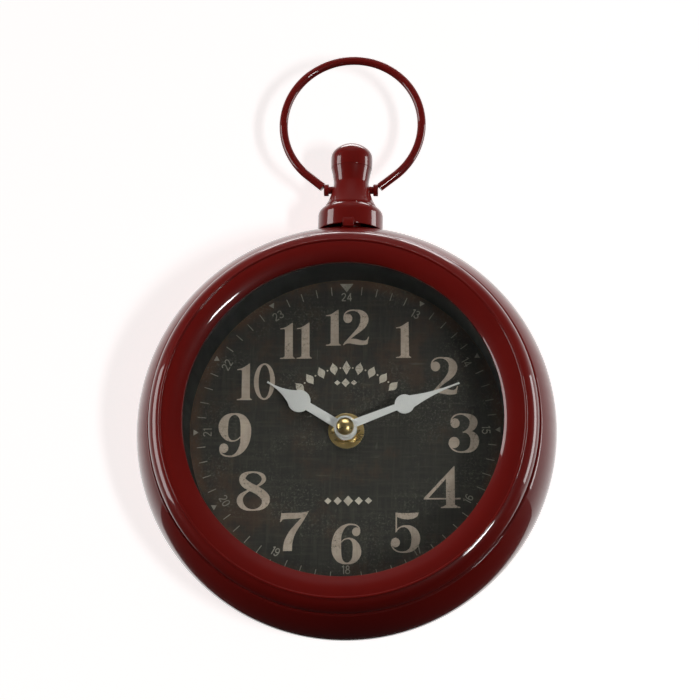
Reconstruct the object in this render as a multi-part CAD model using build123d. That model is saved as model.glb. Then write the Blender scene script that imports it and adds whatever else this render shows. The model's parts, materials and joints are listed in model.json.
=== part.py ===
from build123d import *
import os
from math import acos, asin, atan2, cos, radians, sin, sqrt

# Round wall clock in the form of an old pocket watch: a spun steel case with a stem and a bow on top,
# a glazed bezel, a printed dial and a battery movement behind it.
# Millimetres. The origin is on the dial's axis in the plane of the wall, +Z is up, the face looks along -Y.
# "out" is a distance out from the wall, towards the person reading the clock.

# ---------------------------------------------------------------- fits
running_gap = 0.05          # radial gap round anything that turns
dome_flat = 0.4             # radius of the flat at the top of a turned dome
loose_gap = 0.3             # gap where a cover or a ring only drops into place

# ---------------------------------------------------------------- case and bezel
case_radius = 100.0         # widest radius of the case
bulge_radius = 37.0         # radius of the rounded side, in section
bulge_out = 27.0            # the widest circle's distance from the wall
case_front_out = 50.0       # front face of the case, which the bezel sits on
sheet = 1.0                 # thickness of the steel sheet
case_edge_round = 0.8       # rounding of the case's front edge
glass_hole_radius = 77.0    # hole in the front of the case, behind the glass
lip_height = 1.8            # upstanding ring that centres the bezel

bezel_skirt_radius = 91.0   # outside of the bezel where it meets the case
bezel_skirt_height = 2.0
bezel_height = 10.0         # front of the bezel, from the front face of the case
ridge_radius = 85.3         # thin raised line round the bezel
ridge_width = 0.8
ridge_height = 0.7
opening_radius = 74.6       # the opening in the bezel
opening_edge_height = 6.8   # front edge of the opening, from the front face of the case
inner_slope_swell = 1.0     # how far the inner slope swells forward of a straight cone

# ---------------------------------------------------------------- glass and inner rim
glass_thickness = 2.0
glass_radius = 80.0
gasket_thickness = 1.5
gasket_width = 3.5
rim_radius = 75.2           # inside of the dark wall between the glass and the dial
rim_front_flange_radius = 86.0
rim_rear_flange_radius = 80.0

# ---------------------------------------------------------------- dial
dial_out = 24.0             # front of the dial board
dial_board_thickness = 2.4
print_thickness = 0.3
print_radius = 75.0
dial_hole_radius = 5.0
dial_screw_radius = 0.8
dial_screw_head_radius = 1.5
dial_screw_head_height = 0.8
dial_screw_count = 4
dial_screw_first = 45.0      # direction of the first screw, anticlockwise from 3 o'clock

# ---------------------------------------------------------------- hands and their fixings
washer_radius = 8.6
washer_thickness = 0.8
nut_across_flats = 12.0
nut_height = 2.2
bush_radius = 4.0
bush_past_nut = 0.5
hour_pipe_radius = 2.5
minute_arbor_radius = 1.6
hand_thickness = 0.6
hand_hub_radius = 5.4
hour_hand_gap = 0.4         # hour hand, in front of the threaded bush
hour_collet_radius = 3.3
hour_collet_height = 0.5
hands_apart = 5.0           # minute hand, in front of the hour hand
minute_pivot_radius = 1.2
cap_nut_radius = 4.15
cap_nut_side = 1.2          # straight side of the cap nut, below its dome
cap_nut_dome = 2.6
cap_nut_shoulder = 1.8      # radius of the turn between side and dome

minute_hand_length = 58.0
minute_spade_at = 30.1
minute_spade_radius = 4.65
minute_arm_root = 4.1
minute_arm_end = 2.9
hour_hand_length = 44.5
hour_spade_at = 26.4
hour_spade_radius = 5.45
hour_arm_root = 4.5
hour_arm_end = 3.9
hand_tip_width = 0.9
point_leaves_spade = 42.0   # where the hollow-sided point leaves the spade, from straight up
point_waist_width = 0.26    # the point's half width at its waist, as a share of its foot
point_waist_at = 0.42       # the waist's place along the point
minute_hand_angle = 68.0    # clockwise from 12
hour_hand_angle = 301.0

# ---------------------------------------------------------------- stem, knob and bow
base_radius = 15.9          # bell at the foot of the stem
base_side = 7.5             # straight side of the bell
base_height = 11.9
base_shoulder_radius = 12.8
base_wall = 1.2
tab_width = 5.3             # small locating tab at the front of the bell
tab_stands_out = 1.2
tab_height = 2.3            # how far the tab laps up the bell
spigot_radius = 5.0
neck_foot_radius = 12.6
neck_height = 20.7
neck_waist_height = 13.1
neck_waist_radius = 8.6
neck_foot_side = 1.0        # straight side at the foot of the neck
neck_cove_height = 7.6      # a place on the hollow side below the waist
neck_cove_extra = 1.1       # and how much wider than the waist the neck is there
neck_upper_extra = 0.5      # the same, halfway between the waist and the top
neck_top_radius = 10.0
knob_radius = 10.2
knob_side = 5.5
knob_dome = 7.6
knob_shoulder = 5.5
knob_spigot_radius = 4.0
knob_spigot_length = 5.0
pin_height = 9.9            # the bow pin above the foot of the neck
pin_radius = 1.9
bow_wire_radius = 2.1
bow_radius = 34.2           # to the middle of the wire
bow_centre_above_pin = 34.2
bow_eye_radius = 3.0
bow_eye_length = 2.4
bow_eye_inner = 10.9        # inner face of each eye, from the middle of the stem
bolt_radius = 2.5
bolt_head_radius = 4.2
bolt_head_height = 3.2
bolt_into_neck = 6.0
saddle_radius = 6.5
saddle_thickness = 1.0

# ---------------------------------------------------------------- back
cover_out = 2.0             # rear face of the back cover
ledge_width = 6.3           # ledge that the back cover is screwed to
cover_window = 58.0
cover_window_corner = 3.0
keyhole_height = 66.0
keyhole_radius = 4.5
keyhole_slot_radius = 2.25
keyhole_slot_rise = 9.0
cover_screw_count = 6
cover_screw_first = 30.0     # direction of the first screw, anticlockwise from 3 o'clock
cover_screw_radius = 1.5
cover_screw_head_radius = 2.8
cover_screw_head_height = 1.4
cover_screw_length = 5.0
cover_screw_inset = 3.3     # screw centres, in from the cover's edge
driver_slot_length = 2.6
driver_slot_width = 0.6
bumper_radius = 5.0
bumper_spread = 50.0
bumper_drop = 55.0

# ---------------------------------------------------------------- movement
movement_size = 56.0
movement_depth = 16.0
movement_wall = 1.2
movement_corner = 3.0
cushion_radius = 11.0
cushion_thickness = 0.8
shell_joint = 8.0           # depth of the rear shell
shelf_height = -11.4        # bottom of the shelf between the gears and the battery
shelf_thickness = 0.8

cell_radius = 7.1           # AA cell
cell_length = 49.0
cell_nub_radius = 2.7
cell_nub_length = 1.3
cell_height = -19.2         # the cell's axis
contact_thickness = 0.5
contact_width = 9.0
contact_cone_radius = 4.5

# ---------------------------------------------------------------- gears
train_module = 0.3
rotor_module = 0.25
minute_module = 0.4
hour_module = 0.32
wheel_thickness = 0.8
pinion_extra = 0.2          # a pinion is this much longer than its wheel's tooth, at each end
tooth_depth = 1.05          # the teeth's shape, in modules: from the pitch circle to the root
tooth_height = 0.8          # from the pitch circle to the tip
tooth_half_root = 0.92      # half widths at the root, the pitch circle and the tip
tooth_half_pitch = 0.62
tooth_half_tip = 0.3
arbor_radius = 0.6
pivot_radius = 0.5
pivot_depth = 0.6
end_shake = 0.1             # play along an arbor
layer_gap = 0.6

rotor_leaves = 10
intermediate_teeth = 50
intermediate_leaves = 10
second_teeth = 60
second_leaves = 8
third_teeth = 60
third_leaves = 8
centre_teeth = 64
cannon_leaves = 10
motion_teeth = 30
motion_leaves = 10
hour_teeth = 40
setting_leaves = 10

third_bearing = 15.0        # direction of each centre from the one before it, anticlockwise from 3 o'clock
second_bearing = 50.0
intermediate_bearing = 155.0
rotor_bearing = 185.0
motion_bearing = 160.0
setting_bearing = 180.0

magnet_radius = 2.6
magnet_length = 2.2
setting_knob_radius = 6.0
setting_knob_height = 2.8
setting_arbor_radius = 1.0
setting_knob_grooves = 24
setting_groove_radius = 0.35
minute_rear_radius = 1.0    # the minute arbor behind its clutch
motion_stud_radius = 0.6
motion_hub_radius = 1.1
clutch_spring_radius = 3.0
clutch_spring_height = 0.4

# ---------------------------------------------------------------- electrics
stator_thickness = 0.8
stator_gap = 0.5
stator_below_hole = 1.6     # how far the stator's plate reaches past its hole, below
stator_beside_hole = 1.2    # and beside
stator_leg_lap = 2.0        # how far its two legs lap over the plate
core_width = 3.0
bobbin_radius = 3.6
bobbin_core_radius = 2.1
bobbin_flange = 0.8
bobbin_length = 17.8
coil_height = 21.8
winding_radius = 3.4
board_thickness = 0.8
board_right_edge = -3.0     # the board's right-hand edge, across from the dial's axis
crystal_radius = 1.5
crystal_length = 8.0
chip_radius = 3.0
chip_height = 1.0
chip_round = 0.9
chip_inset = 2.0            # the chip's edge, in from the board's


# ================================================================ helpers
def at_out(out, place=(0.0, 0.0)):
    """Plane facing the reader, at a distance out from the wall, centred on a place (across, up)."""
    return Plane(origin=(place[0], -out, place[1]), x_dir=(1, 0, 0), z_dir=(0, -1, 0))


def slab(outline, out, thickness, place=(0.0, 0.0)):
    """Flat piece whose rear face is at a distance out from the wall."""
    return extrude(at_out(out, place) * outline, thickness)


def rod(radius, out, length, place=(0.0, 0.0)):
    return slab(Circle(radius), out, length, place)


def tube(outer, inner, out, length, place=(0.0, 0.0)):
    return slab(Circle(outer) - Circle(inner), out, length, place)


def block(across, out, up):
    """Box between two places across, two distances out and two heights."""
    size = (across[1] - across[0], out[1] - out[0], up[1] - up[0])
    centre = ((across[0] + across[1]) / 2, -(out[0] + out[1]) / 2, (up[0] + up[1]) / 2)
    return Pos(*centre) * Box(*size)


def spun(*edges):
    """Ring turned about the dial's axis, from edges drawn in (radius, -out)."""
    return revolve(make_face(Curve() + list(edges)), Axis.Y, 360)


def spun_polygon(points):
    """Ring turned about the dial's axis, from corners given as (radius, out)."""
    outline = Polyline(*[(radius, -out) for radius, out in points], close=True)
    return revolve(make_face(outline), Axis.Y, 360)


def dome_arcs(radius, height, shoulder, level, sense=1):
    """Two tangent arcs from a dome's edge, at a level, to the small flat on its top."""
    drop = ((radius - shoulder) ** 2 - (height - shoulder) ** 2) / (2 * (height - shoulder))
    turn = atan2(drop, radius - shoulder)
    top = height + drop

    def on_shoulder(angle):
        return (radius - shoulder + shoulder * cos(angle), level + sense * shoulder * sin(angle))

    def on_top(angle):
        return (top * cos(angle), level + sense * (top * sin(angle) - drop))

    last = acos(dome_flat / top)
    end = on_top(last)
    return [
        ThreePointArc(on_shoulder(0), on_shoulder(turn / 2), on_shoulder(turn)),
        ThreePointArc(on_shoulder(turn), on_top((turn + last) / 2), end),
        Line(end, (0, end[1])),
    ]


def around(count, radius, first=0.0):
    """Places (across, up) spread evenly round the dial's axis."""
    angles = [radians(first + 360.0 * step / count) for step in range(count)]
    return [(radius * cos(angle), radius * sin(angle)) for angle in angles]


def step_from(place, distance, bearing):
    angle = radians(bearing)
    return (place[0] + distance * cos(angle), place[1] + distance * sin(angle))


def save(name, shape):
    shape.label = name
    export_step(shape, f"parts/{name}.step")


# ================================================================ case
bulge_centre_radius = case_radius - bulge_radius


def side_radius(out, inset=0.0):
    """Radius of the rounded side at a distance out from the wall, a sheet's inset inwards."""
    return bulge_centre_radius + sqrt((bulge_radius - inset) ** 2 - (out - bulge_out) ** 2)


def side_arc(first_out, last_out, inset):
    return ThreePointArc(
        (side_radius(first_out, inset), -first_out),
        (case_radius - inset, -bulge_out),
        (side_radius(last_out, inset), -last_out),
    )


def filled_case(inset):
    """Solid space inside the rounded side, for cutting what seats on it."""
    rear, front = side_radius(0, inset), side_radius(case_front_out, inset)
    return spun(
        side_arc(0, case_front_out, inset),
        Line((front, -case_front_out), (0, -case_front_out)),
        Line((0, -case_front_out), (0, 0)),
        Line((0, 0), (rear, 0)),
    )


def stem_axis_cylinder(radius, low, high):
    """Upright cylinder on the stem's axis."""
    return Pos(0, -bulge_out, (low + high) / 2) * Cylinder(radius, high - low)


lip_radius = bezel_skirt_radius - sheet - running_gap


def case_shell():
    front = case_front_out
    back_of_front = front - sheet
    corners = [
        (side_radius(front), -front),
        (lip_radius, -front),
        (lip_radius, -front - lip_height),
        (lip_radius - sheet, -front - lip_height),
        (lip_radius - sheet, -front),
        (glass_hole_radius, -front),
        (glass_hole_radius, -back_of_front),
        (side_radius(back_of_front, sheet), -back_of_front),
    ]
    shell = spun(
        side_arc(0, front, 0),
        *[Line(a, b) for a, b in zip(corners, corners[1:])],
        side_arc(0, back_of_front, sheet),
        Line((side_radius(0, sheet), 0), (side_radius(0), 0)),
    )
    edge = shell.edges().filter_by(GeomType.CIRCLE).sort_by(
        lambda e: abs(e.radius - side_radius(front)) + abs(e.center().Y + front)
    )[0]
    shell = fillet(edge, case_edge_round)
    return shell - stem_axis_cylinder(bolt_radius + loose_gap, inner_saddle_low, saddle_top)


# ================================================================ bezel
bezel_out = case_front_out + bezel_height
opening_edge_out = case_front_out + opening_edge_height


def bezel_bead(inset):
    """The bezel's round outer bead: its start on the skirt, a middle point and its end at the ridge."""
    start_out = case_front_out + bezel_skirt_height
    rise = bezel_out - ridge_height - start_out
    reach = bezel_skirt_radius - ridge_radius
    radius = (rise ** 2 + reach ** 2) / (2 * reach)
    centre = bezel_skirt_radius - radius
    last = asin(rise / radius)
    return [
        (centre + (radius - inset) * cos(turn), -start_out - (radius - inset) * sin(turn))
        for turn in (0.0, last / 2, last)
    ]


def slope_arc(top, bottom, swell):
    """Swelled line from the ridge down to the opening."""
    run, fall = bottom[0] - top[0], bottom[1] - top[1]
    length = sqrt(run ** 2 + fall ** 2)
    middle_radius = (top[0] + bottom[0]) / 2 + swell * fall / length
    middle_depth = (top[1] + bottom[1]) / 2 + swell * run / length
    return ThreePointArc(top, (middle_radius, middle_depth), bottom)


lip_out = case_front_out + sheet + gasket_thickness + glass_thickness   # the glass touches the bezel here


def front_bezel():
    outer, inner = bezel_bead(0), bezel_bead(sheet)
    ridge_inner = ridge_radius - ridge_width
    slope_top = (ridge_inner, -bezel_out)
    slope_bottom = (opening_radius, -opening_edge_out)
    back_top = (ridge_inner - ridge_width / 4, inner[2][1])
    back_bottom = (opening_radius + sheet, -opening_edge_out + sheet)
    corners_front = [outer[2], (ridge_radius, -bezel_out), slope_top]
    corners_back = [
        slope_bottom,
        (opening_radius, -lip_out),
        (opening_radius + sheet, -lip_out),
        back_bottom,
    ]
    skirt = [
        inner[0],
        (bezel_skirt_radius - sheet, -case_front_out),
        (bezel_skirt_radius, -case_front_out),
        outer[0],
    ]
    return spun(
        ThreePointArc(*outer),
        *[Line(a, b) for a, b in zip(corners_front, corners_front[1:])],
        slope_arc(slope_top, slope_bottom, inner_slope_swell),
        *[Line(a, b) for a, b in zip(corners_back, corners_back[1:])],
        slope_arc(back_top, back_bottom, inner_slope_swell),
        Line(back_top, inner[2]),
        ThreePointArc(*inner),
        *[Line(a, b) for a, b in zip(skirt, skirt[1:])],
    )


# ================================================================ glass, gasket and inner rim
def glass_lens():
    return rod(glass_radius, lip_out - glass_thickness, glass_thickness)


def lens_gasket():
    return tube(glass_radius, glass_radius - gasket_width, case_front_out + sheet, gasket_thickness)


def inner_rim():
    """Dark ring clamped between the case and the glass, which carries the dial at its rear."""
    ring = spun_polygon([
        (rim_radius, case_front_out + sheet),
        (rim_front_flange_radius, case_front_out + sheet),
        (rim_front_flange_radius, case_front_out),
        (rim_radius + sheet, case_front_out),
        (rim_radius + sheet, dial_out + sheet),
        (rim_rear_flange_radius, dial_out + sheet),
        (rim_rear_flange_radius, dial_out),
        (rim_radius, dial_out),
    ])
    for place in dial_screw_places:
        ring -= rod(dial_screw_radius, dial_out, sheet, place)
    return ring


# ================================================================ dial
board_rear_out = dial_out - dial_board_thickness
print_front_out = dial_out + print_thickness
dial_screw_circle = (rim_radius + sheet + rim_rear_flange_radius) / 2
dial_screw_places = around(dial_screw_count, dial_screw_circle, dial_screw_first)


def dial_board():
    board = tube(rim_rear_flange_radius, dial_hole_radius, board_rear_out, dial_board_thickness)
    for place in dial_screw_places:
        board -= rod(dial_screw_radius + running_gap, board_rear_out, dial_board_thickness, place)
    return board


def dial_print():
    return tube(print_radius, dial_hole_radius, dial_out, print_thickness)


def dial_screws():
    screws = []
    head_out = board_rear_out - dial_screw_head_height
    for place in dial_screw_places:
        head = rod(dial_screw_head_radius, head_out, dial_screw_head_height, place)
        shank = rod(dial_screw_radius, board_rear_out, dial_board_thickness + sheet, place)
        screws.append(head + shank)
    return Compound(screws)


# ================================================================ fixings on the dial's axis
washer_front_out = print_front_out + washer_thickness
nut_front_out = washer_front_out + nut_height
hour_hand_out = nut_front_out + bush_past_nut + hour_hand_gap
minute_hand_out = hour_hand_out + hands_apart
movement_front_out = board_rear_out - cushion_thickness
movement_rear_out = movement_front_out - movement_depth
plate_out = movement_front_out - movement_wall        # inside of the movement's front plate
floor_out = movement_rear_out + movement_wall         # inside of its rear plate
bush_bore = hour_pipe_radius + running_gap
pipe_bore = minute_arbor_radius + running_gap


def cushion_washer():
    return tube(cushion_radius, dial_hole_radius, movement_front_out, cushion_thickness)


def brass_washer():
    return tube(washer_radius, bush_radius + running_gap, print_front_out, washer_thickness)


def hex_nut():
    blank = slab(RegularPolygon(nut_across_flats / 2, 6, major_radius=False), washer_front_out, nut_height)
    corner_radius = nut_across_flats / sqrt(3)
    chamfer_height = corner_radius - nut_across_flats / 2
    cone = spun_polygon([
        (0, washer_front_out),
        (corner_radius + chamfer_height, washer_front_out),
        (corner_radius + chamfer_height, nut_front_out - chamfer_height),
        (nut_across_flats / 2, nut_front_out),
        (0, nut_front_out),
    ])
    return (blank & cone) - rod(bush_radius, washer_front_out, nut_height)


def centre_bush():
    """Threaded brass tube that holds the movement to the dial and guides the hour pipe."""
    return tube(bush_radius, bush_bore, plate_out, nut_front_out + bush_past_nut - plate_out)


# ================================================================ hands
def hand_outline(length, spade_at, spade_radius, arm_root, arm_end, bore):
    """Spade hand pointing up: hub, tapered arm, round spade and a hollow-sided point."""
    leave = radians(point_leaves_spade)
    shoulder = (spade_radius * sin(leave), spade_at + spade_radius * cos(leave))
    half_tip = hand_tip_width / 2
    waist = (
        half_tip + (shoulder[0] - half_tip) * point_waist_width,
        shoulder[1] + (length - shoulder[1]) * point_waist_at,
    )
    point = make_face(Curve() + [
        Line((-shoulder[0], shoulder[1]), shoulder),
        ThreePointArc(shoulder, waist, (half_tip, length)),
        Line((half_tip, length), (-half_tip, length)),
        ThreePointArc((-half_tip, length), (-waist[0], waist[1]), (-shoulder[0], shoulder[1])),
    ])
    arm = make_face(Polyline(
        (-arm_root / 2, 0),
        (arm_root / 2, 0),
        (arm_end / 2, spade_at),
        (-arm_end / 2, spade_at),
        close=True,
    ))
    spade = Pos(0, spade_at) * Circle(spade_radius)
    return Circle(hand_hub_radius) + arm + spade + point - Circle(bore)


def minute_hand():
    outline = hand_outline(
        minute_hand_length, minute_spade_at, minute_spade_radius,
        minute_arm_root, minute_arm_end, minute_pivot_radius,
    )
    return slab(Rot(0, 0, -minute_hand_angle) * outline, minute_hand_out, hand_thickness)


def hour_hand():
    outline = hand_outline(
        hour_hand_length, hour_spade_at, hour_spade_radius,
        hour_arm_root, hour_arm_end, hour_pipe_radius,
    )
    plate = slab(Rot(0, 0, -hour_hand_angle) * outline, hour_hand_out, hand_thickness)
    collet_out = hour_hand_out + hand_thickness
    return plate + tube(hour_collet_radius, hour_pipe_radius, collet_out, hour_collet_height)


def cap_nut():
    base_out = minute_hand_out + hand_thickness
    side_out = base_out + cap_nut_side
    arcs = dome_arcs(cap_nut_radius, cap_nut_dome, cap_nut_shoulder, -side_out, -1)
    dome = spun(
        Line((0, -base_out), (cap_nut_radius, -base_out)),
        Line((cap_nut_radius, -base_out), (cap_nut_radius, -side_out)),
        *arcs,
        Line(arcs[-1] @ 1, (0, -base_out)),
    )
    return dome - rod(minute_pivot_radius, base_out, pivot_into_cap)


pivot_into_cap = cap_nut_side + cap_nut_dome / 4


# ================================================================ stem, knob and bow
# the bell's rim touches the case at its two sides
base_low = sqrt(case_radius ** 2 - (base_radius - base_wall) ** 2)
base_top = base_low + base_height
neck_top = base_top + neck_height
pin_up = base_top + pin_height
saddle_top = case_radius + saddle_thickness
inner_saddle_low = case_radius - sheet - 2 * saddle_thickness


stem_plane = Plane(origin=(0, -bulge_out, 0), x_dir=(1, 0, 0), z_dir=(0, -1, 0))


def turned_on_stem(*edges):
    """Solid turned about the stem's upright axis, from edges drawn in (radius, height)."""
    profile = stem_plane * make_face(Curve() + list(edges))
    return revolve(profile, Axis((0, -bulge_out, 0), (0, 0, 1)), 360)


def across_stem(radius, half_length, across=0.0):
    """Cylinder lying across the stem on the bow pin's axis."""
    return Pos(across, -bulge_out, pin_up) * Rot(0, 90, 0) * Cylinder(radius, 2 * half_length)


def bell(inset, low):
    """The bell's outline, filled to its axis; its shoulder is an arc that leaves the side smoothly."""
    rise, reach = base_height - base_side, base_radius - base_shoulder_radius
    curve = (rise ** 2 + reach ** 2) / (2 * reach)
    last = asin(rise / curve)
    side_top = base_low + base_side

    def on_shoulder(turn):
        return (base_radius - curve + (curve - inset) * cos(turn), side_top + (curve - inset) * sin(turn))

    end = on_shoulder(last)
    return turned_on_stem(
        Line((0, low), (base_radius - inset, low)),
        Line((base_radius - inset, low), on_shoulder(0)),
        ThreePointArc(on_shoulder(0), on_shoulder(last / 2), end),
        Line(end, (0, end[1])),
        Line((0, end[1]), (0, low)),
    )


def stem_base():
    shell = bell(0, base_low) - bell(base_wall, base_low - 1)
    shell -= stem_axis_cylinder(spigot_radius, base_low, base_top + 1)
    tab_out = bulge_out + base_radius
    tab = block(
        (-tab_width / 2, tab_width / 2),
        (tab_out - base_wall / 2, tab_out + tab_stands_out),
        (side_radius(tab_out - base_wall / 2) + running_gap, base_low + tab_height),
    )
    return shell + tab


def stem_neck():
    low = base_top
    waist = low + neck_waist_height
    neck = turned_on_stem(
        Line((0, low), (neck_foot_radius, low)),
        Line((neck_foot_radius, low), (neck_foot_radius, low + neck_foot_side)),
        ThreePointArc(
            (neck_foot_radius, low + neck_foot_side),
            (neck_waist_radius + neck_cove_extra, low + neck_cove_height),
            (neck_waist_radius, waist),
        ),
        ThreePointArc(
            (neck_waist_radius, waist),
            (neck_waist_radius + neck_upper_extra, (waist + neck_top) / 2),
            (neck_top_radius, neck_top),
        ),
        Line((neck_top_radius, neck_top), (0, neck_top)),
        Line((0, neck_top), (0, low)),
    )
    neck += stem_axis_cylinder(spigot_radius, saddle_top, low)
    neck -= stem_axis_cylinder(bolt_radius, saddle_top, low + bolt_into_neck)
    neck -= stem_axis_cylinder(knob_spigot_radius, neck_top - knob_spigot_length, neck_top)
    return neck - across_stem(pin_radius + running_gap, 2 * neck_foot_radius)


def top_knob():
    low = neck_top - knob_spigot_length
    side_top = neck_top + knob_side
    arcs = dome_arcs(knob_radius, knob_dome, knob_shoulder, side_top)
    return turned_on_stem(
        Line((0, low), (knob_spigot_radius, low)),
        Line((knob_spigot_radius, low), (knob_spigot_radius, neck_top)),
        Line((knob_spigot_radius, neck_top), (neck_top_radius, neck_top)),
        ThreePointArc(
            (neck_top_radius, neck_top),
            (knob_radius, neck_top + knob_side / 2),
            (knob_radius, side_top),
        ),
        *arcs,
        Line(arcs[-1] @ 1, (0, low)),
    )


def stem_bolt():
    head = stem_axis_cylinder(bolt_head_radius, inner_saddle_low - bolt_head_height, inner_saddle_low)
    return head + stem_axis_cylinder(bolt_radius, inner_saddle_low, base_top + bolt_into_neck)


def stem_saddles():
    """Two shaped washers, one outside the case and one inside, that give the stem a flat seat."""
    bore = stem_axis_cylinder(bolt_radius + running_gap, inner_saddle_low - 1, saddle_top + 1)
    outer = stem_axis_cylinder(spigot_radius, case_radius - saddle_thickness, saddle_top)
    inner = stem_axis_cylinder(saddle_radius, inner_saddle_low, case_radius)
    return Compound([outer - filled_case(0) - bore, (inner & filled_case(sheet)) - bore])


def bow_pin():
    return across_stem(pin_radius, bow_eye_inner + bow_eye_length)


def bow():
    """Wire ring whose two straight legs end in eyes on the bow pin."""
    eye_across = bow_eye_inner + bow_eye_length / 2
    centre_up = pin_up + bow_centre_above_pin
    reach = sqrt(eye_across ** 2 + bow_centre_above_pin ** 2)
    below = atan2(eye_across, bow_centre_above_pin) + acos(bow_radius / reach)
    touch = (bow_radius * sin(below), centre_up - bow_radius * cos(below))
    path = stem_plane * Wire([
        Line((eye_across, pin_up), touch),
        ThreePointArc(touch, (0, centre_up + bow_radius), (-touch[0], touch[1])),
        Line((-touch[0], touch[1]), (-eye_across, pin_up)),
    ])
    shape = sweep(Plane(origin=path @ 0, z_dir=path % 0) * Circle(bow_wire_radius), path)
    for side in (-1, 1):
        shape += across_stem(bow_eye_radius, bow_eye_length / 2, side * eye_across)
    return shape - across_stem(pin_radius, 2 * eye_across)


# ================================================================ back
cover_front_out = cover_out + sheet
cover_radius = side_radius(0, sheet) - loose_gap
cover_screw_places = around(cover_screw_count, cover_radius - cover_screw_inset, cover_screw_first)


def back_ledge():
    ring = tube(case_radius, cover_radius - ledge_width, cover_front_out, sheet) & filled_case(sheet)
    for place in cover_screw_places:
        ring -= rod(cover_screw_radius, cover_front_out, sheet, place)
    return ring


def back_cover():
    plate = rod(cover_radius, cover_out, sheet)
    plate -= slab(RectangleRounded(cover_window, cover_window, cover_window_corner), cover_out, sheet)
    plate -= rod(keyhole_radius, cover_out, sheet, (0, keyhole_height))
    slot = Pos(0, keyhole_slot_rise / 2) * Rectangle(2 * keyhole_slot_radius, keyhole_slot_rise)
    slot += Pos(0, keyhole_slot_rise) * Circle(keyhole_slot_radius)
    plate -= slab(slot, cover_out, sheet, (0, keyhole_height))
    for place in cover_screw_places:
        plate -= rod(cover_screw_radius + running_gap, cover_out, sheet, place)
    return plate


def cover_screws():
    """Pan-head screws with a crossed driver slot."""
    screws = []
    head_out = cover_out - cover_screw_head_height
    slots = Rectangle(driver_slot_length, driver_slot_width)
    slots += Rectangle(driver_slot_width, driver_slot_length)
    for place in cover_screw_places:
        head = rod(cover_screw_head_radius, head_out, cover_screw_head_height, place)
        rim = head.edges().filter_by(GeomType.CIRCLE).sort_by(Axis.Y)[-1]
        head = fillet(rim, cover_screw_head_height / 2)
        head -= slab(slots, head_out, cover_screw_head_height / 2, place)
        screws.append(head + rod(cover_screw_radius, cover_out, cover_screw_length, place))
    return Compound(screws)


def wall_bumpers():
    places = [(side * bumper_spread, -bumper_drop) for side in (-1, 1)]
    return Compound([rod(bumper_radius, 0, cover_out, place) for place in places])


# ================================================================ gear train
def gear_outline(teeth, module, phase):
    """Spur gear with slim, tapered teeth; phase is the direction of one tooth's middle, in degrees."""
    pitch = teeth * module / 2
    root, tip = pitch - tooth_depth * module, pitch + tooth_height * module
    half_root = tooth_half_root * module
    half_pitch = tooth_half_pitch * module
    half_tip = tooth_half_tip * module
    corners = []
    for tooth in range(teeth):
        middle = radians(phase + 360.0 * tooth / teeth)
        for radius, half in (
            (root, -half_root), (pitch, -half_pitch), (tip, -half_tip),
            (tip, half_tip), (pitch, half_pitch), (root, half_root),
        ):
            turn = middle + half / radius
            corners.append((radius * cos(turn), radius * sin(turn)))
    return make_face(Polyline(*corners, close=True))


def meshed_phase(driver_teeth, driver_phase, teeth, bearing):
    """Phase that puts a gap of the next gear opposite a tooth of the one before it."""
    share = ((bearing - driver_phase) * driver_teeth / 360.0) % 1.0
    return bearing + 180.0 - (0.5 - share) * 360.0 / teeth


def wheel(teeth, module, out, place, phase, bore=0.0):
    outline = gear_outline(teeth, module, phase)
    if bore:
        outline -= Circle(bore)
    return slab(outline, out, wheel_thickness, place)


def pinion(leaves, module, out, place, phase, bore=0.0):
    """Pinion in the layer of the wheel that it drives, a little longer than that wheel is thick."""
    outline = gear_outline(leaves, module, phase)
    if bore:
        outline -= Circle(bore)
    return slab(outline, out - pinion_extra, wheel_thickness + 2 * pinion_extra, place)


def arbor(place, radius=arbor_radius):
    """Arbor between the two plates, with a pivot at each end."""
    body = rod(radius, floor_out + end_shake, plate_out - floor_out - 2 * end_shake, place)
    pivots = rod(pivot_radius, floor_out - pivot_depth, plate_out - floor_out + 2 * pivot_depth, place)
    return body + pivots


# layers, from the dial towards the wall
hour_layer = plate_out - layer_gap - wheel_thickness
minute_layer = hour_layer - 2 * wheel_thickness
centre_layer = minute_layer - 2 * wheel_thickness
third_layer = centre_layer - 2 * wheel_thickness
second_layer = third_layer - 2 * wheel_thickness
intermediate_layer = second_layer - 2 * wheel_thickness
magnet_layer = intermediate_layer - layer_gap - magnet_length

centre = (0.0, 0.0)
third_place = step_from(centre, train_module * (centre_teeth + third_leaves) / 2, third_bearing)
second_place = step_from(third_place, train_module * (third_teeth + second_leaves) / 2, second_bearing)
intermediate_place = step_from(
    second_place, train_module * (second_teeth + intermediate_leaves) / 2, intermediate_bearing
)
rotor_distance = rotor_module * (intermediate_teeth + rotor_leaves) / 2
rotor_place = step_from(intermediate_place, rotor_distance, rotor_bearing)
motion_place = step_from(centre, minute_module * (cannon_leaves + motion_teeth) / 2, motion_bearing)
setting_distance = minute_module * (motion_teeth + setting_leaves) / 2
setting_place = step_from(motion_place, setting_distance, setting_bearing)

third_pinion_phase = meshed_phase(centre_teeth, 0.0, third_leaves, third_bearing)
second_pinion_phase = meshed_phase(third_teeth, third_pinion_phase, second_leaves, second_bearing)
intermediate_pinion_phase = meshed_phase(
    second_teeth, second_pinion_phase, intermediate_leaves, intermediate_bearing
)
rotor_phase = meshed_phase(intermediate_teeth, intermediate_pinion_phase, rotor_leaves, rotor_bearing)
motion_phase = meshed_phase(cannon_leaves, 0.0, motion_teeth, motion_bearing)
hour_phase = meshed_phase(motion_leaves, motion_phase, hour_teeth, motion_bearing + 180.0)
setting_phase = meshed_phase(motion_teeth, motion_phase, setting_leaves, setting_bearing)

clutch_out = centre_layer - wheel_thickness / 2 - pinion_extra / 2


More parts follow.
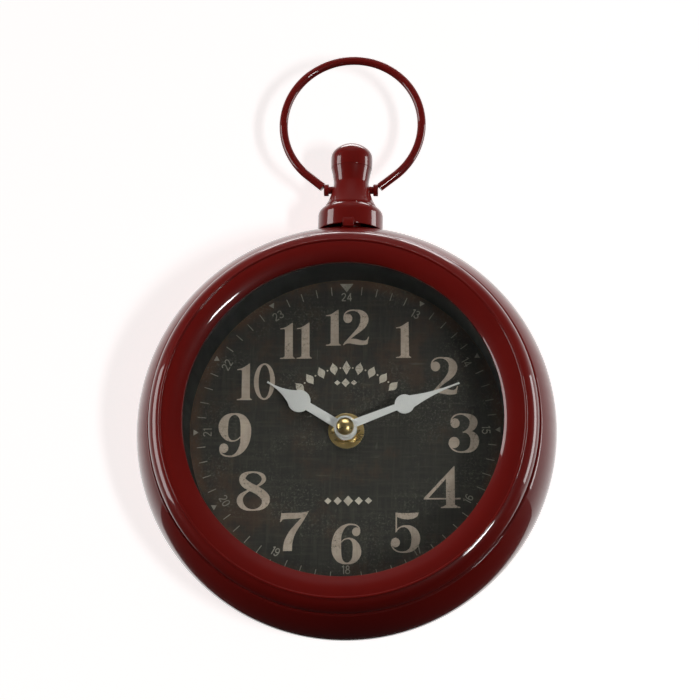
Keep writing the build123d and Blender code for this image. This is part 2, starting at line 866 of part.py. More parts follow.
def minute_arbor():
    """Arbor of the minute hand, with its cannon pinion and a shoulder for the centre wheel's clutch."""
    front = rod(minute_arbor_radius, clutch_out, minute_hand_out - clutch_out)
    rear = rod(minute_rear_radius, floor_out + end_shake, clutch_out - floor_out - end_shake)
    pivot = rod(pivot_radius, floor_out - pivot_depth, pivot_depth + end_shake)
    stud = rod(minute_pivot_radius, minute_hand_out, hand_thickness + pivot_into_cap)
    cannon = pinion(cannon_leaves, minute_module, minute_layer, centre, 0.0)
    return front + rear + pivot + stud + cannon


def clutch_spring():
    """Bowed washer on the minute arbor that presses on the centre wheel."""
    return tube(clutch_spring_radius, minute_arbor_radius, clutch_out, clutch_spring_height)


def centre_wheel():
    return wheel(centre_teeth, train_module, centre_layer, centre, 0.0, minute_arbor_radius + running_gap)


def hour_wheel():
    """Hour wheel and the pipe that carries the hour hand."""
    gear = wheel(hour_teeth, hour_module, hour_layer, centre, hour_phase, pipe_bore)
    pipe_end = hour_hand_out + hand_thickness + hour_collet_height
    return gear + tube(hour_pipe_radius, pipe_bore, hour_layer, pipe_end - hour_layer)


def motion_wheel():
    bore = motion_stud_radius + running_gap
    gear = wheel(motion_teeth, minute_module, minute_layer, motion_place, motion_phase, bore)
    leaves = pinion(motion_leaves, hour_module, hour_layer, motion_place, motion_phase, bore)
    hub_out = minute_layer + wheel_thickness
    hub = tube(motion_hub_radius, bore, hub_out, hour_layer - pinion_extra - hub_out, motion_place)
    return gear + leaves + hub


def setting_knob():
    """Knurled knob behind the movement, on the arbor that turns the hands."""
    leaves = pinion(setting_leaves, minute_module, minute_layer, setting_place, setting_phase)
    arbor_end = plate_out - end_shake
    body = rod(setting_arbor_radius, movement_rear_out, arbor_end - movement_rear_out, setting_place)
    pivot = rod(pivot_radius, arbor_end, pivot_depth + end_shake, setting_place)
    knob_out = movement_rear_out - 2 * end_shake - setting_knob_height
    knob = rod(setting_knob_radius, knob_out, setting_knob_height, setting_place)
    neck = rod(setting_arbor_radius, movement_rear_out - 2 * end_shake, 2 * end_shake, setting_place)
    for place in around(setting_knob_grooves, setting_knob_radius):
        groove = (setting_place[0] + place[0], setting_place[1] + place[1])
        knob -= rod(setting_groove_radius, knob_out, setting_knob_height, groove)
    return leaves + body + pivot + knob + neck


def third_wheel():
    gear = wheel(third_teeth, train_module, third_layer, third_place, third_pinion_phase)
    leaves = pinion(third_leaves, train_module, centre_layer, third_place, third_pinion_phase)
    return arbor(third_place) + gear + leaves


def second_wheel():
    gear = wheel(second_teeth, train_module, second_layer, second_place, second_pinion_phase)
    leaves = pinion(second_leaves, train_module, third_layer, second_place, second_pinion_phase)
    return arbor(second_place) + gear + leaves


def intermediate_wheel():
    phase = intermediate_pinion_phase
    gear = wheel(intermediate_teeth, rotor_module, intermediate_layer, intermediate_place, phase)
    leaves = pinion(intermediate_leaves, train_module, second_layer, intermediate_place, phase)
    return arbor(intermediate_place) + gear + leaves


def rotor():
    leaves = pinion(rotor_leaves, rotor_module, intermediate_layer, rotor_place, rotor_phase)
    return arbor(rotor_place) + leaves


def rotor_magnet():
    return tube(magnet_radius, arbor_radius, magnet_layer, magnet_length, rotor_place)


# ================================================================ movement case
half_inside = movement_size / 2 - movement_wall
shelf_top = shelf_height + shelf_thickness
joint_out = movement_rear_out + shell_joint
arbor_places = [third_place, second_place, intermediate_place, rotor_place]


def movement_box(low_out, high_out, size, corner):
    return slab(RectangleRounded(size, size, corner), low_out, high_out - low_out)


def movement_front_shell():
    box = movement_box(joint_out, movement_front_out, movement_size, movement_corner)
    box -= movement_box(joint_out, plate_out, 2 * half_inside, movement_corner - movement_wall)
    box += block((-half_inside, half_inside), (joint_out, plate_out), (shelf_height, shelf_top))
    box -= rod(bush_radius, plate_out, movement_wall)
    for place in arbor_places + [setting_place]:
        box -= rod(pivot_radius + running_gap, plate_out, pivot_depth + end_shake, place)
    stud_low = minute_layer - pinion_extra
    return box + rod(motion_stud_radius, stud_low, plate_out - stud_low, motion_place)


def movement_rear_shell():
    box = movement_box(movement_rear_out, joint_out, movement_size, movement_corner)
    box -= movement_box(floor_out, joint_out, 2 * half_inside, movement_corner - movement_wall)
    box += block((-half_inside, half_inside), (floor_out, joint_out), (shelf_height, shelf_top))
    bay_low, bay_high = -half_inside, shelf_height - running_gap
    box -= block((-half_inside, half_inside), (movement_rear_out, floor_out), (bay_low, bay_high))
    for place in arbor_places + [centre]:
        pocket = pivot_depth + end_shake
        box -= rod(pivot_radius + running_gap, floor_out - pocket, pocket, place)
    return box - rod(setting_arbor_radius + running_gap, movement_rear_out, movement_wall, setting_place)


# ================================================================ battery and its contacts
cell_out = movement_rear_out + cell_radius + loose_gap
cell_high = half_inside - contact_thickness - cell_nub_length
cell_low = cell_high - cell_length


def along_x(radius, low, high, out, up):
    """Round bar lying across the clock."""
    return Pos((low + high) / 2, -out, up) * Rot(0, 90, 0) * Cylinder(radius, high - low)


def battery():
    can = along_x(cell_radius, cell_low, cell_high, cell_out, cell_height)
    return can + along_x(cell_nub_radius, cell_high, cell_high + cell_nub_length, cell_out, cell_height)


def contact_plate(low, high):
    half = contact_width / 2
    return block((low, high), (cell_out - half, cell_out + half), (cell_height - half, cell_height + half))


def battery_contact_pos():
    return contact_plate(half_inside - contact_thickness, half_inside)


def battery_contact_neg():
    """Plate with a coned spring that presses on the cell."""
    plate_face = -half_inside + contact_thickness
    length = cell_low - plate_face
    wide, narrow = contact_cone_radius, contact_cone_radius / 2
    cone = Cone(wide, narrow, length) - Cone(wide - contact_thickness, narrow - contact_thickness, length)
    placed = Pos(plate_face + length / 2, -cell_out, cell_height) * Rot(0, 90, 0) * cone
    return contact_plate(-half_inside, plate_face) + placed


# ================================================================ electrics
coil_left = -half_inside + 2 * stator_thickness + stator_gap
coil_right = coil_left + bobbin_length
stator_out = magnet_layer + (magnet_length - stator_thickness) / 2
core_out = stator_out + bobbin_core_radius


def stator():
    """Soft-iron plate round the rotor's magnet, with a core that runs through the coil."""
    hole = magnet_radius + stator_gap
    ends = ((coil_left - 2 * stator_thickness, coil_left - stator_gap / 2),
            (coil_right + stator_gap / 2, coil_right + 2 * stator_thickness))
    plate_low = rotor_place[1] - hole - stator_below_hole
    plate_high = coil_height - bobbin_radius - stator_gap
    plate = block(
        (ends[0][0], rotor_place[0] + hole + stator_beside_hole),
        (stator_out, stator_out + stator_thickness),
        (plate_low, plate_high),
    )
    core_up = (coil_height - core_width / 2, coil_height + core_width / 2)
    core = block((ends[0][0], ends[1][1]), (core_out, core_out + stator_thickness), core_up)
    leg_out, leg_up = (stator_out, core_out + stator_thickness), (plate_high - stator_leg_lap, core_up[1])
    for end in ends:
        core += block(end, leg_out, leg_up)
    return plate + core - rod(hole, stator_out, stator_thickness, rotor_place)


def coil_bobbin():
    middle_out = core_out + stator_thickness / 2
    spool = along_x(bobbin_core_radius, coil_left, coil_right, middle_out, coil_height)
    spool += along_x(bobbin_radius, coil_left, coil_left + bobbin_flange, middle_out, coil_height)
    spool += along_x(bobbin_radius, coil_right - bobbin_flange, coil_right, middle_out, coil_height)
    return spool - block(
        (coil_left, coil_right),
        (core_out - running_gap, core_out + stator_thickness + running_gap),
        (coil_height - core_width / 2 - running_gap, coil_height + core_width / 2 + running_gap),
    )


def coil_winding():
    middle_out = core_out + stator_thickness / 2
    low, high = coil_left + bobbin_flange, coil_right - bobbin_flange
    spool = along_x(bobbin_core_radius, low, high, middle_out, coil_height)
    return along_x(winding_radius, low, high, middle_out, coil_height) - spool


board_out = magnet_layer + magnet_length - wheel_thickness / 2
board_left = -half_inside + loose_gap
board_low = shelf_top + loose_gap
board_high = rotor_place[1] - magnet_radius - stator_gap - stator_below_hole - loose_gap


def circuit_board():
    thick = (board_out, board_out + board_thickness)
    board = block((board_left, board_right_edge), thick, (board_low, board_high))
    return board - rod(2 * setting_arbor_radius, board_out, board_thickness, setting_place)


def quartz_can():
    up = board_low + 2 * crystal_radius
    low = board_left + crystal_radius
    return along_x(crystal_radius, low, low + crystal_length, board_out - crystal_radius, up)


def driver_chip():
    """Domed drop of resin over the driver circuit."""
    place = (board_right_edge - chip_inset - chip_radius, board_low + 2 * chip_radius)
    drop = rod(chip_radius, board_out - chip_height, chip_height, place)
    rim = drop.edges().filter_by(GeomType.CIRCLE).sort_by(Axis.Y)[-1]
    return fillet(rim, chip_round)


# ================================================================ writing the pieces
pieces = [
    case_shell, front_bezel, glass_lens, lens_gasket, inner_rim,
    dial_board, dial_print, dial_screws,
    cushion_washer, brass_washer, hex_nut, centre_bush,
    minute_hand, hour_hand, cap_nut,
    stem_base, stem_neck, top_knob, stem_bolt, stem_saddles, bow_pin, bow,
    back_ledge, back_cover, cover_screws, wall_bumpers,
    minute_arbor, clutch_spring, centre_wheel, hour_wheel, motion_wheel, setting_knob,
    third_wheel, second_wheel, intermediate_wheel, rotor, rotor_magnet,
    movement_front_shell, movement_rear_shell,
    battery, battery_contact_pos, battery_contact_neg,
    stator, coil_bobbin, coil_winding, circuit_board, quartz_can, driver_chip,
]

os.makedirs("parts", exist_ok=True)
for piece in pieces:
    save(piece.__name__, piece())
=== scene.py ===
import json
from math import acos, asin, atan2, cos, degrees, hypot, pi, radians, sin

import bmesh
import bpy
from bpy.props import FloatProperty, FloatVectorProperty, PointerProperty
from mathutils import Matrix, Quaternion, Vector, geometry


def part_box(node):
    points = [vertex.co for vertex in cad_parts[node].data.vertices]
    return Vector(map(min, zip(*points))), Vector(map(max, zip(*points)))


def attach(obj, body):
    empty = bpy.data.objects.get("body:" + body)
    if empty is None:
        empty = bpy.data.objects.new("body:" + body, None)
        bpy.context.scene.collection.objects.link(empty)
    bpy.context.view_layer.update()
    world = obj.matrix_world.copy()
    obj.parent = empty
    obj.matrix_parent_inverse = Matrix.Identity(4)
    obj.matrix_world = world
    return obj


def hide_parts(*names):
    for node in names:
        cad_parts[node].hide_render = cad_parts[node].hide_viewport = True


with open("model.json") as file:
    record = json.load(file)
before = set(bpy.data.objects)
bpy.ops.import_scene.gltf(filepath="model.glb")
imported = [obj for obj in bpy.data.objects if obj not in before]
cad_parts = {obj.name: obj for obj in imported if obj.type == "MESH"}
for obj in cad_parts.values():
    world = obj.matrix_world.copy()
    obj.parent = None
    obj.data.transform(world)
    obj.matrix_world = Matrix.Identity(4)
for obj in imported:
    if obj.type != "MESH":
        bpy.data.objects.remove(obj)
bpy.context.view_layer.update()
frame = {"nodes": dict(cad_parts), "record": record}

bl_info = {
    "name": "Pocket-Watch Wall Clock",
    "version": (1, 0, 0),
    "blender": (4, 5, 0),
    "location": "3D View > Sidebar > Clock",
    "description": "Builds a round enamelled wall clock in the form of a pocket watch",
    "category": "Object",
}

MM = 0.001

CASE_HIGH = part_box("case_shell")[1]
BEZEL_LOW, BEZEL_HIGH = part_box("front_bezel")
GLASS_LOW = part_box("glass_lens")[0]
RIM_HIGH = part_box("inner_rim")[1]
PRINT_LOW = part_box("dial_print")[0]
BASE_LOW, BASE_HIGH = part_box("stem_base")
NECK_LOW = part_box("stem_neck")[0]
KNOB_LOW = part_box("top_knob")[0]
PIN_LOW, PIN_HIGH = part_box("bow_pin")
CAP_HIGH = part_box("cap_nut")[1]
WASHER_LOW, WASHER_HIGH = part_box("brass_washer")
SCREWS_LOW, SCREWS_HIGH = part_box("cover_screws")
MINUTE_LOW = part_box("minute_hand")[0]
HOUR_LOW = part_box("hour_hand")[0]
SLOT_OF = {entry["node"]: entry["material_slot"] for entry in frame["record"]["subparts"]}
BODY_OF = {
    node: body for body, nodes in frame["record"]["behaviour"]["bodies"].items() for node in nodes
}
PIN_HEIGHT = (PIN_LOW.z + PIN_HIGH.z) / 2
STEM_OUT = -(PIN_LOW.y + PIN_HIGH.y) / 2

# fits that the user has no call to change, in millimetres
BELL_HEIGHT = 11.9          # bell of the stem, from its foot to its top
TAB_OVERLAP = 2.3           # how far the locating tab reaches up over the bell's foot
NECK_FOOT_SIDE = 1.0        # straight side at the foot of the neck
KNOB_SPIGOT_LENGTH = 5.0    # spigot under the knob, in the top of the neck
BORE_CLEARANCE = 0.05       # round the pin in the neck's cross bore
LEG_CLEARANCE = 0.35        # between the pin and the end of the bow's wire
WASHER_BORE = 4.05          # radius of the hole in the brass washer
SCREW_COUNT = 6             # screws of the back cover
SCREW_CIRCLE = 83.2         # radius of the circle that they stand on
SCREW_HEAD = 2.8            # radius of a screw's head
SCREW_SHANK = 1.5           # radius of its shank
SCREW_SIDES = 48
CROSS_REACH = 1.3           # half the length of the cross recess in its head
CROSS_HALF_WIDTH = 0.3
CROSS_DEPTH = 0.7
COVER_OUT = 2.0             # front face of the back cover


# ---- sizes and colours
def length(name, description, default):
    """A length that the user may change; the default is in metres."""
    return FloatProperty(
        name=name, description=description, default=default, min=0.0,
        unit="LENGTH", subtype="DISTANCE", precision=4,
    )


def turn(name, description, default):
    """An angle that the user may change; the default is in degrees."""
    return FloatProperty(
        name=name, description=description, default=radians(
            default,
        ), unit="ROTATION", subtype="ANGLE",
    )


def share(name, description, default):
    return FloatProperty(
        name=name, description=description, default=default, min=0.0, max=1.0, subtype="FACTOR",
    )


def colour(name, description, default):
    return FloatVectorProperty(
        name=name, description=description, default=default, size=3,
        min=0.0, max=1.0, subtype="COLOR",
    )


def strength(name, description, default):
    return FloatProperty(name=name, description=description, default=default, min=0.0)


class ClockCaseSizes(bpy.types.PropertyGroup):
    """Sizes of the turned steel case, the bezel and the dark inner rim."""

    case_radius: length("Case Radius", "Widest radius of the case", CASE_HIGH.x)
    bulge_radius: length("Bulge Radius", "Radius of the rounded side, in section", 37.0 * MM)
    bulge_out: length("Bulge Distance", "Distance of the widest circle from the wall", STEM_OUT)
    front_out: length(
        "Front Distance", "Distance of the case's front face from the wall", 50.0 * MM,
    )
    sheet: length("Sheet Thickness", "Thickness of the steel sheet", 1.0 * MM)
    edge_round: length("Edge Rounding", "Rounding of the case's front edge", 0.8 * MM)
    glass_hole: length("Glass Hole", "Radius of the hole in the case's front", 77.0 * MM)
    lip_radius: length("Lip Radius", "Outside of the ring that centres the bezel", 89.95 * MM)
    lip_height: length("Lip Height", "Height of the ring that centres the bezel", 1.8 * MM)
    skirt_radius: length(
        "Bezel Skirt Radius", "Outside of the bezel where it meets the case", BEZEL_HIGH.x,
    )
    skirt_height: length("Bezel Skirt Height", "Straight side of the bezel", 2.0 * MM)
    bezel_out: length("Bezel Distance", "Distance of the bezel's front from the wall", -BEZEL_LOW.y)
    ridge_radius: length("Ridge Radius", "Radius of the raised line round the bezel", 85.3 * MM)
    ridge_width: length("Ridge Width", "Width of the raised line", 0.8 * MM)
    ridge_height: length("Ridge Height", "Height of the raised line over the bead", 0.7 * MM)
    ridge_round: length("Ridge Rounding", "Rounding of the raised line's edges", 0.36 * MM)
    ridge_groove: length("Ridge Groove", "Drop from the raised line to the inner slope", 0.50 * MM)
    opening_radius: length("Opening Radius", "Radius of the opening in the bezel", 74.6 * MM)
    opening_out: length(
        "Opening Distance", "Distance of the opening's front edge from the wall", 56.8 * MM,
    )
    slope_swell: length("Slope Swell", "How far the inner slope swells forward", 1.0 * MM)
    rim_radius: length("Inner Rim Radius", "Inside of the dark wall round the dial", 75.2 * MM)
    rim_front: length("Rim Front Flange", "Radius of the rim's front flange", RIM_HIGH.x)
    rim_rear: length("Rim Rear Flange", "Radius of the rim's rear flange", 80.0 * MM)


class ClockDialSizes(bpy.types.PropertyGroup):
    """Sizes of what is printed on the dial."""

    track_radius: length("Track Radius", "Outside of the ring of minute ticks", 71.9 * MM)
    tick_length: length("Tick Length", "Length of a minute tick", 4.1 * MM)
    tick_width: length("Tick Width", "Width of a minute tick", 0.4 * MM)
    marker_radius: length("Marker Radius", "Outside of the ring of triangles", 73.3 * MM)
    marker_width: length("Marker Width", "Width of the triangle at an hour", 2.9 * MM)
    marker_height: length("Marker Height", "Height of the triangle at an hour", 2.4 * MM)
    noon_width: length("Noon Marker Width", "Width of the large triangle at twelve", 6.6 * MM)
    noon_height: length("Noon Marker Height", "Height of the large triangle at twelve", 4.2 * MM)
    day_radius: length(
        "Small Numeral Radius", "Radius to the middle of the 13-24 numerals", 66.6 * MM,
    )
    day_height: length("Small Numeral Height", "Height of the 13-24 numerals", 4.1 * MM)
    day_stroke: share(
        "Small Numeral Stroke", "Stroke width as a share of the numeral's height", 0.12,
    )
    ink_height: length("Ink Height", "Thickness of the printed ink", 0.04 * MM)
    arch_radius: length("Arch Radius", "Radius of the arched ornament", 31.2 * MM)
    arch_span: turn("Arch Span", "Angle that the arched ornament spans", 98.0)
    print_turn: turn("Print Turn", "How far the printed sheet is turned anticlockwise", 1.0)


class ClockHandSizes(bpy.types.PropertyGroup):
    """Sizes of the spade hands and the fixings on the dial's axis."""

    minute_length: length("Minute Hand", "Length of the minute hand", 58.0 * MM)
    minute_spade_at: length("Minute Spade Place", "Distance of the minute hand's spade", 30.1 * MM)
    minute_spade: length("Minute Spade", "Radius of the minute hand's spade", 4.65 * MM)
    minute_root: length("Minute Arm Root", "Width of the minute arm at the hub", 4.1 * MM)
    minute_end: length("Minute Arm End", "Width of the minute arm at the spade", 2.9 * MM)
    minute_bore: length("Minute Bore", "Radius of the minute hand's hole", 1.2 * MM)
    minute_angle: turn("Minute Angle", "Angle of the minute hand, clockwise from twelve", 68.0)
    hour_length: length("Hour Hand", "Length of the hour hand", 44.5 * MM)
    hour_spade_at: length("Hour Spade Place", "Distance of the hour hand's spade", 26.4 * MM)
    hour_spade: length("Hour Spade", "Radius of the hour hand's spade", 5.45 * MM)
    hour_root: length("Hour Arm Root", "Width of the hour arm at the hub", 4.5 * MM)
    hour_end: length("Hour Arm End", "Width of the hour arm at the spade", 3.9 * MM)
    hour_bore: length("Hour Bore", "Radius of the hour hand's hole", 2.5 * MM)
    hour_angle: turn("Hour Angle", "Angle of the hour hand, clockwise from twelve", 301.0)
    hub_radius: length("Hub Radius", "Radius of the hands' hubs", 5.4 * MM)
    tip_width: length("Tip Width", "Width of a hand's tip", 0.9 * MM)
    plate: length("Hand Thickness", "Thickness of the hands", 0.6 * MM)
    edge: length("Pressed Edge", "Rounding of the hands' edges", 0.16 * MM)
    collet_radius: length("Collet Radius", "Radius of the hour hand's collet", 3.3 * MM)
    cap_side: length("Cap Nut Side", "Straight side of the cap nut", 1.2 * MM)
    cap_dome: length("Cap Nut Dome", "Height of the cap nut's dome", 2.6 * MM)
    cap_shoulder: length("Cap Nut Shoulder", "Radius of the turn between side and dome", 1.8 * MM)


class ClockStemSizes(bpy.types.PropertyGroup):
    """Sizes of the bell, neck, knob and bow on top of the case."""

    base_radius: length("Bell Radius", "Radius of the bell at the foot of the stem", 15.9 * MM)
    base_side: length("Bell Side", "Straight side of the bell", 7.5 * MM)
    base_shoulder: length("Bell Shoulder", "Radius of the bell at its top", 12.8 * MM)
    base_wall: length("Bell Wall", "Thickness of the bell", 1.2 * MM)
    spigot_radius: length("Spigot Radius", "Radius of the neck's spigot in the bell", 5.0 * MM)
    tab_width: length("Tab Width", "Width of the locating tab", 5.3 * MM)
    neck_foot: length("Neck Foot", "Radius of the neck's foot", 12.6 * MM)
    neck_cove: length("Neck Cove", "Radius of the neck at a place below its waist", 9.7 * MM)
    neck_cove_height: length("Cove Height", "Height of that place above the neck's foot", 7.6 * MM)
    neck_waist: length("Neck Waist", "Radius of the neck's waist", 8.6 * MM)
    neck_waist_height: length(
        "Waist Height", "Height of the waist above the neck's foot", 13.1 * MM,
    )
    neck_upper: length("Neck Upper", "Radius halfway between the waist and the top", 9.1 * MM)
    neck_top: length("Neck Top", "Radius of the neck's top", 10.0 * MM)
    crease: length("Crease", "Rounding on both sides of the crease under the knob", 0.45 * MM)
    knob_radius: length("Knob Radius", "Radius of the knob", 10.2 * MM)
    knob_side: length("Knob Side", "Straight side of the knob", 5.5 * MM)
    knob_dome: length("Knob Dome", "Height of the knob's dome", 7.6 * MM)
    knob_shoulder: length("Knob Shoulder", "Radius of the turn between side and dome", 5.5 * MM)
    knob_spigot: length("Knob Spigot", "Radius of the knob's spigot", 4.0 * MM)
    pin_radius: length("Pin Radius", "Radius of the bow pin", 1.9 * MM)
    wire_radius: length("Wire Radius", "Radius of the bow's wire", 2.1 * MM)
    bow_radius: length("Bow Radius", "Radius of the bow to the middle of its wire", 34.2 * MM)
    bow_rise: length("Bow Rise", "Height of the bow's centre above the pin", 34.2 * MM)
    eye_radius: length("Eye Radius", "Radius of the bow's eyes", 3.0 * MM)
    eye_length: length("Eye Length", "Thickness of the bow's eyes", 2.4 * MM)


class ClockColours(bpy.types.PropertyGroup):
    """Colours of the clock's finishes."""

    enamel: colour("Enamel", "Dark red gloss enamel", (0.165, 0.0062, 0.0040))
    enamel_deep: colour("Enamel Shade", "Darker cast in the enamel", (0.130, 0.0045, 0.0032))
    ground: colour("Dial Ground", "Charcoal of the printed dial", (0.0300, 0.0275, 0.0215))
    ground_dark: colour("Dial Ground Shade", "Darker streaks in the dial", (0.0205, 0.0195, 0.0155))
    ground_pale: colour(
        "Dial Ground Wear", "Pale worn threads and scratches", (0.115, 0.108, 0.088),
    )
    rust: colour("Rust Stain", "Brown stains on the dial", (0.080, 0.038, 0.020))
    numeral: colour("Numeral Ink", "Taupe ink of the numerals", (0.50, 0.405, 0.325))
    numeral_worn: colour("Worn Ink", "Worn patches in the numerals", (0.285, 0.225, 0.18))
    ornament: colour("Ornament Ink", "Lighter ink of the ornaments", (0.62, 0.56, 0.46))
    track: colour("Track Ink", "Grey ink of the ticks and small numerals", (0.30, 0.27, 0.225))
    hand: colour("Hand Paint", "Off-white paint of the hands", (0.655, 0.645, 0.625))
    brass: colour("Brass", "Polished brass", (0.80, 0.60, 0.27))
    steel: colour("Steel", "Zinc-plated steel", (0.60, 0.60, 0.585))
    black: colour("Black Paint", "Satin black paint", (0.009, 0.0105, 0.009))
    plastic: colour("Movement Plastic", "Black moulded plastic", (0.022, 0.022, 0.024))
    wheel: colour("Wheel Plastic", "Natural acetal of the wheels", (0.72, 0.70, 0.62))
    copper: colour("Copper", "Enamelled copper wire", (0.72, 0.30, 0.13))
    sleeve: colour("Cell Sleeve", "Plain sleeve of the battery", (0.022, 0.075, 0.066))
    floor: colour("Floor", "Pale floor of the stage", (0.80, 0.795, 0.785))


class ClockStageSizes(bpy.types.PropertyGroup):
    """The camera's place, the floor and the strength of the lights."""

    distance: length("Camera Distance", "Distance of the camera from its target", 1.0)
    azimuth: turn("Camera Azimuth", "Camera's turn to the right of straight ahead", 3.5)
    elevation: turn("Camera Elevation", "Camera's height angle", -15.0)
    roll: turn("Camera Roll", "Camera's turn about its own axis", 1.2)
    lens: FloatProperty(
        name="Lens", description="Focal length in millimetres", default=106.6, min=10.0,
        unit="CAMERA",
    )
    target: FloatVectorProperty(
        name="Target", description="Place that the camera looks at",
        default=(0.0009, -0.024, 0.0403), size=3, unit="LENGTH", subtype="XYZ",
    )
    floor_drop: length("Floor Drop", "How far the floor lies below the dial's axis", 1.3)
    left_light: strength("Left Softbox", "Radiance of the tall softbox on the left", 5.0)
    right_light: strength("Right Softbox", "Radiance of the tall softbox on the right", 6.0)
    top_light: strength("Top Softbox", "Radiance of the wide softbox above", 4.6)
    edge_light: strength("Edge Softbox", "Radiance of the narrow softbox above and behind", 5.5)
    flash: strength("Flash", "Light on the dial, in watts per square metre", 0.62)


class ClockSettings(bpy.types.PropertyGroup):
    """Everything that the clock's operators read."""

    case: PointerProperty(type=ClockCaseSizes)
    dial: PointerProperty(type=ClockDialSizes)
    hands: PointerProperty(type=ClockHandSizes)
    stem: PointerProperty(type=ClockStemSizes)
    colours: PointerProperty(type=ClockColours)
    stage: PointerProperty(type=ClockStageSizes)


class InMillimetres:
    """Reads a property group's lengths in millimetres, and leaves its other values alone."""

    def __init__(self, group):
        self.group = group

    def __getattr__(self, name):
        value = getattr(self.group, name)
        if self.group.bl_rna.properties[name].unit == "LENGTH":
            return value / MM
        return value


def sizes(context, name):
    return InMillimetres(getattr(context.scene.pocket_clock, name))


# ---- outlines
def arc(centre, radius, first, last, steps):
    """Points on a circle between two angles in radians."""
    angles = [first + (last - first) * step / steps for step in range(steps + 1)]
    return [(centre[0] + radius * cos(a), centre[1] + radius * sin(a)) for a in angles]


def arc_through(start, middle, end, steps):
    """Points on the circle through three points, from the first to the last."""
    (ax, ay), (bx, by), (cx, cy) = start, middle, end
    d = 2 * (ax * (by - cy) + bx * (cy - ay) + cx * (ay - by))
    a2, b2, c2 = ax * ax + ay * ay, bx * bx + by * by, cx * cx + cy * cy
    ux = (a2 * (by - cy) + b2 * (cy - ay) + c2 * (ay - by)) / d
    uy = (a2 * (cx - bx) + b2 * (ax - cx) + c2 * (bx - ax)) / d
    first = atan2(ay - uy, ax - ux)
    through = (atan2(by - uy, bx - ux) - first) % (2 * pi)
    whole = (atan2(cy - uy, cx - ux) - first) % (2 * pi)
    if through > whole:
        whole -= 2 * pi
    return arc((ux, uy), hypot(ax - ux, ay - uy), first, first + whole, steps)


def rounded(corners, steps=4):
    """Closed outline with each corner (a, b, radius) rounded; a radius of 0 keeps it sharp."""
    points = []
    count = len(corners)
    for index, (a, b, radius) in enumerate(corners):
        here = Vector((a, b))
        back = Vector(corners[index - 1][:2]) - here
        ahead = Vector(corners[(index + 1) % count][:2]) - here
        if radius <= 0 or back.length == 0 or ahead.length == 0:
            points.append((a, b))
            continue
        half = back.angle(ahead) / 2
        reach = min(radius / max(1e-6, sin(half) / cos(half)), back.length / 2, ahead.length / 2)
        start, end = here + back.normalized() * reach, here + ahead.normalized() * reach
        for step in range(steps + 1):
            t = step / steps
            point = start * (1 - t) ** 2 + here * 2 * t * (1 - t) + end * t ** 2
            points.append((point.x, point.y))
    return points


def soft_corners(points, radius, limit=20.0, steps=4):
    """Rounds only the corners of an outline that turn by more than a limit in degrees."""
    marked = []
    count = len(points)
    for index, point in enumerate(points):
        before = Vector(point) - Vector(points[index - 1])
        after = Vector(points[(index + 1) % count]) - Vector(point)
        sharp = before.length > 0 and after.length > 0 and degrees(before.angle(after)) > limit
        marked.append((point[0], point[1], radius if sharp else 0.0))
    return rounded(marked, steps)


def dome(radius, height, shoulder, level, flat=0.4, steps=24):
    """Two tangent arcs from a dome's edge up to the small flat on its top, as (radius, height)."""
    drop = ((radius - shoulder) ** 2 - (height - shoulder) ** 2) / (2 * (height - shoulder))
    bend = atan2(drop, radius - shoulder)
    top = height + drop
    lower = arc((radius - shoulder, level), shoulder, 0.0, bend, steps // 2)
    upper = arc((0.0, level - drop), top, bend, acos(flat / top), steps)
    return lower + upper[1:]


# ---- flat shapes
def signed_area(points):
    return sum(
        a[0] * b[1] - b[0] * a[1] for a, b in zip(points, points[1:] + points[:1])
    ) / 2


def union_loops(polygons):
    """Outlines of what some simple polygons cover together, each with its inside on its left."""
    spots, faces = [], []
    for polygon in polygons:
        if abs(signed_area(polygon)) < 1e-7:
            continue
        if signed_area(polygon) < 0:
            polygon = polygon[::-1]
        faces.append(list(range(len(spots), len(spots) + len(polygon))))
        spots += [Vector(point) for point in polygon]
    found = geometry.delaunay_2d_cdt(spots, [], faces, 1, 1e-4)
    points, triangles, sources = found[0], found[2], found[5]
    following = {}
    borders = set()
    for triangle, source in zip(triangles, sources):
        if source:
            borders.update(zip(triangle, list(triangle[1:]) + [triangle[0]]))
    for a, b in borders:
        if (b, a) not in borders:
            following.setdefault(a, []).append(b)
    loops = []
    while following:
        first = next(iter(following))
        loop = [first]
        while True:
            ahead = following[loop[-1]]
            step = ahead.pop()
            if not ahead:
                del following[loop[-1]]
            if step == first:
                break
            loop.append(step)
        loops.append(without_specks([tuple(points[i]) for i in loop]))
    return [loop for loop in loops if len(loop) > 2 and abs(signed_area(loop)) > 1e-3]


def without_specks(loop, shortest=0.012):
    """Outline without points closer together than the shortest step."""
    kept = []
    for point in loop:
        if not kept or hypot(point[0] - kept[-1][0], point[1] - kept[-1][1]) > shortest:
            kept.append(point)
    if len(kept) > 1 and hypot(kept[0][0] - kept[-1][0], kept[0][1] - kept[-1][1]) <= shortest:
        kept.pop()
    return kept


def drawn_in(loop, inset):
    """Outline moved inwards by an inset, corner by corner."""
    if not inset:
        return loop
    moved = []
    count = len(loop)
    for index, point in enumerate(loop):
        before = (Vector(point) - Vector(loop[index - 1])).normalized()
        after = (Vector(loop[(index + 1) % count]) - Vector(point)).normalized()
        side = Vector((-before.y - after.y, before.x + after.x))
        if side.length < 1e-6:
            side = Vector((-before.y, before.x))
        side.normalize()
        reach = inset / max(0.5, side.dot(Vector((-before.y, before.x))))
        moved.append((point[0] + side.x * reach, point[1] + side.y * reach))
    return moved


def inside(point, loops):
    """True if a point lies inside an odd number of the outlines."""
    odd = False
    for loop in loops:
        for (ax, ay), (bx, by) in zip(loop, loop[1:] + loop[:1]):
            if (ay > point[1]) != (by > point[1]):
                if point[0] < ax + (point[1] - ay) / (by - ay) * (bx - ax):
                    odd = not odd
    return odd


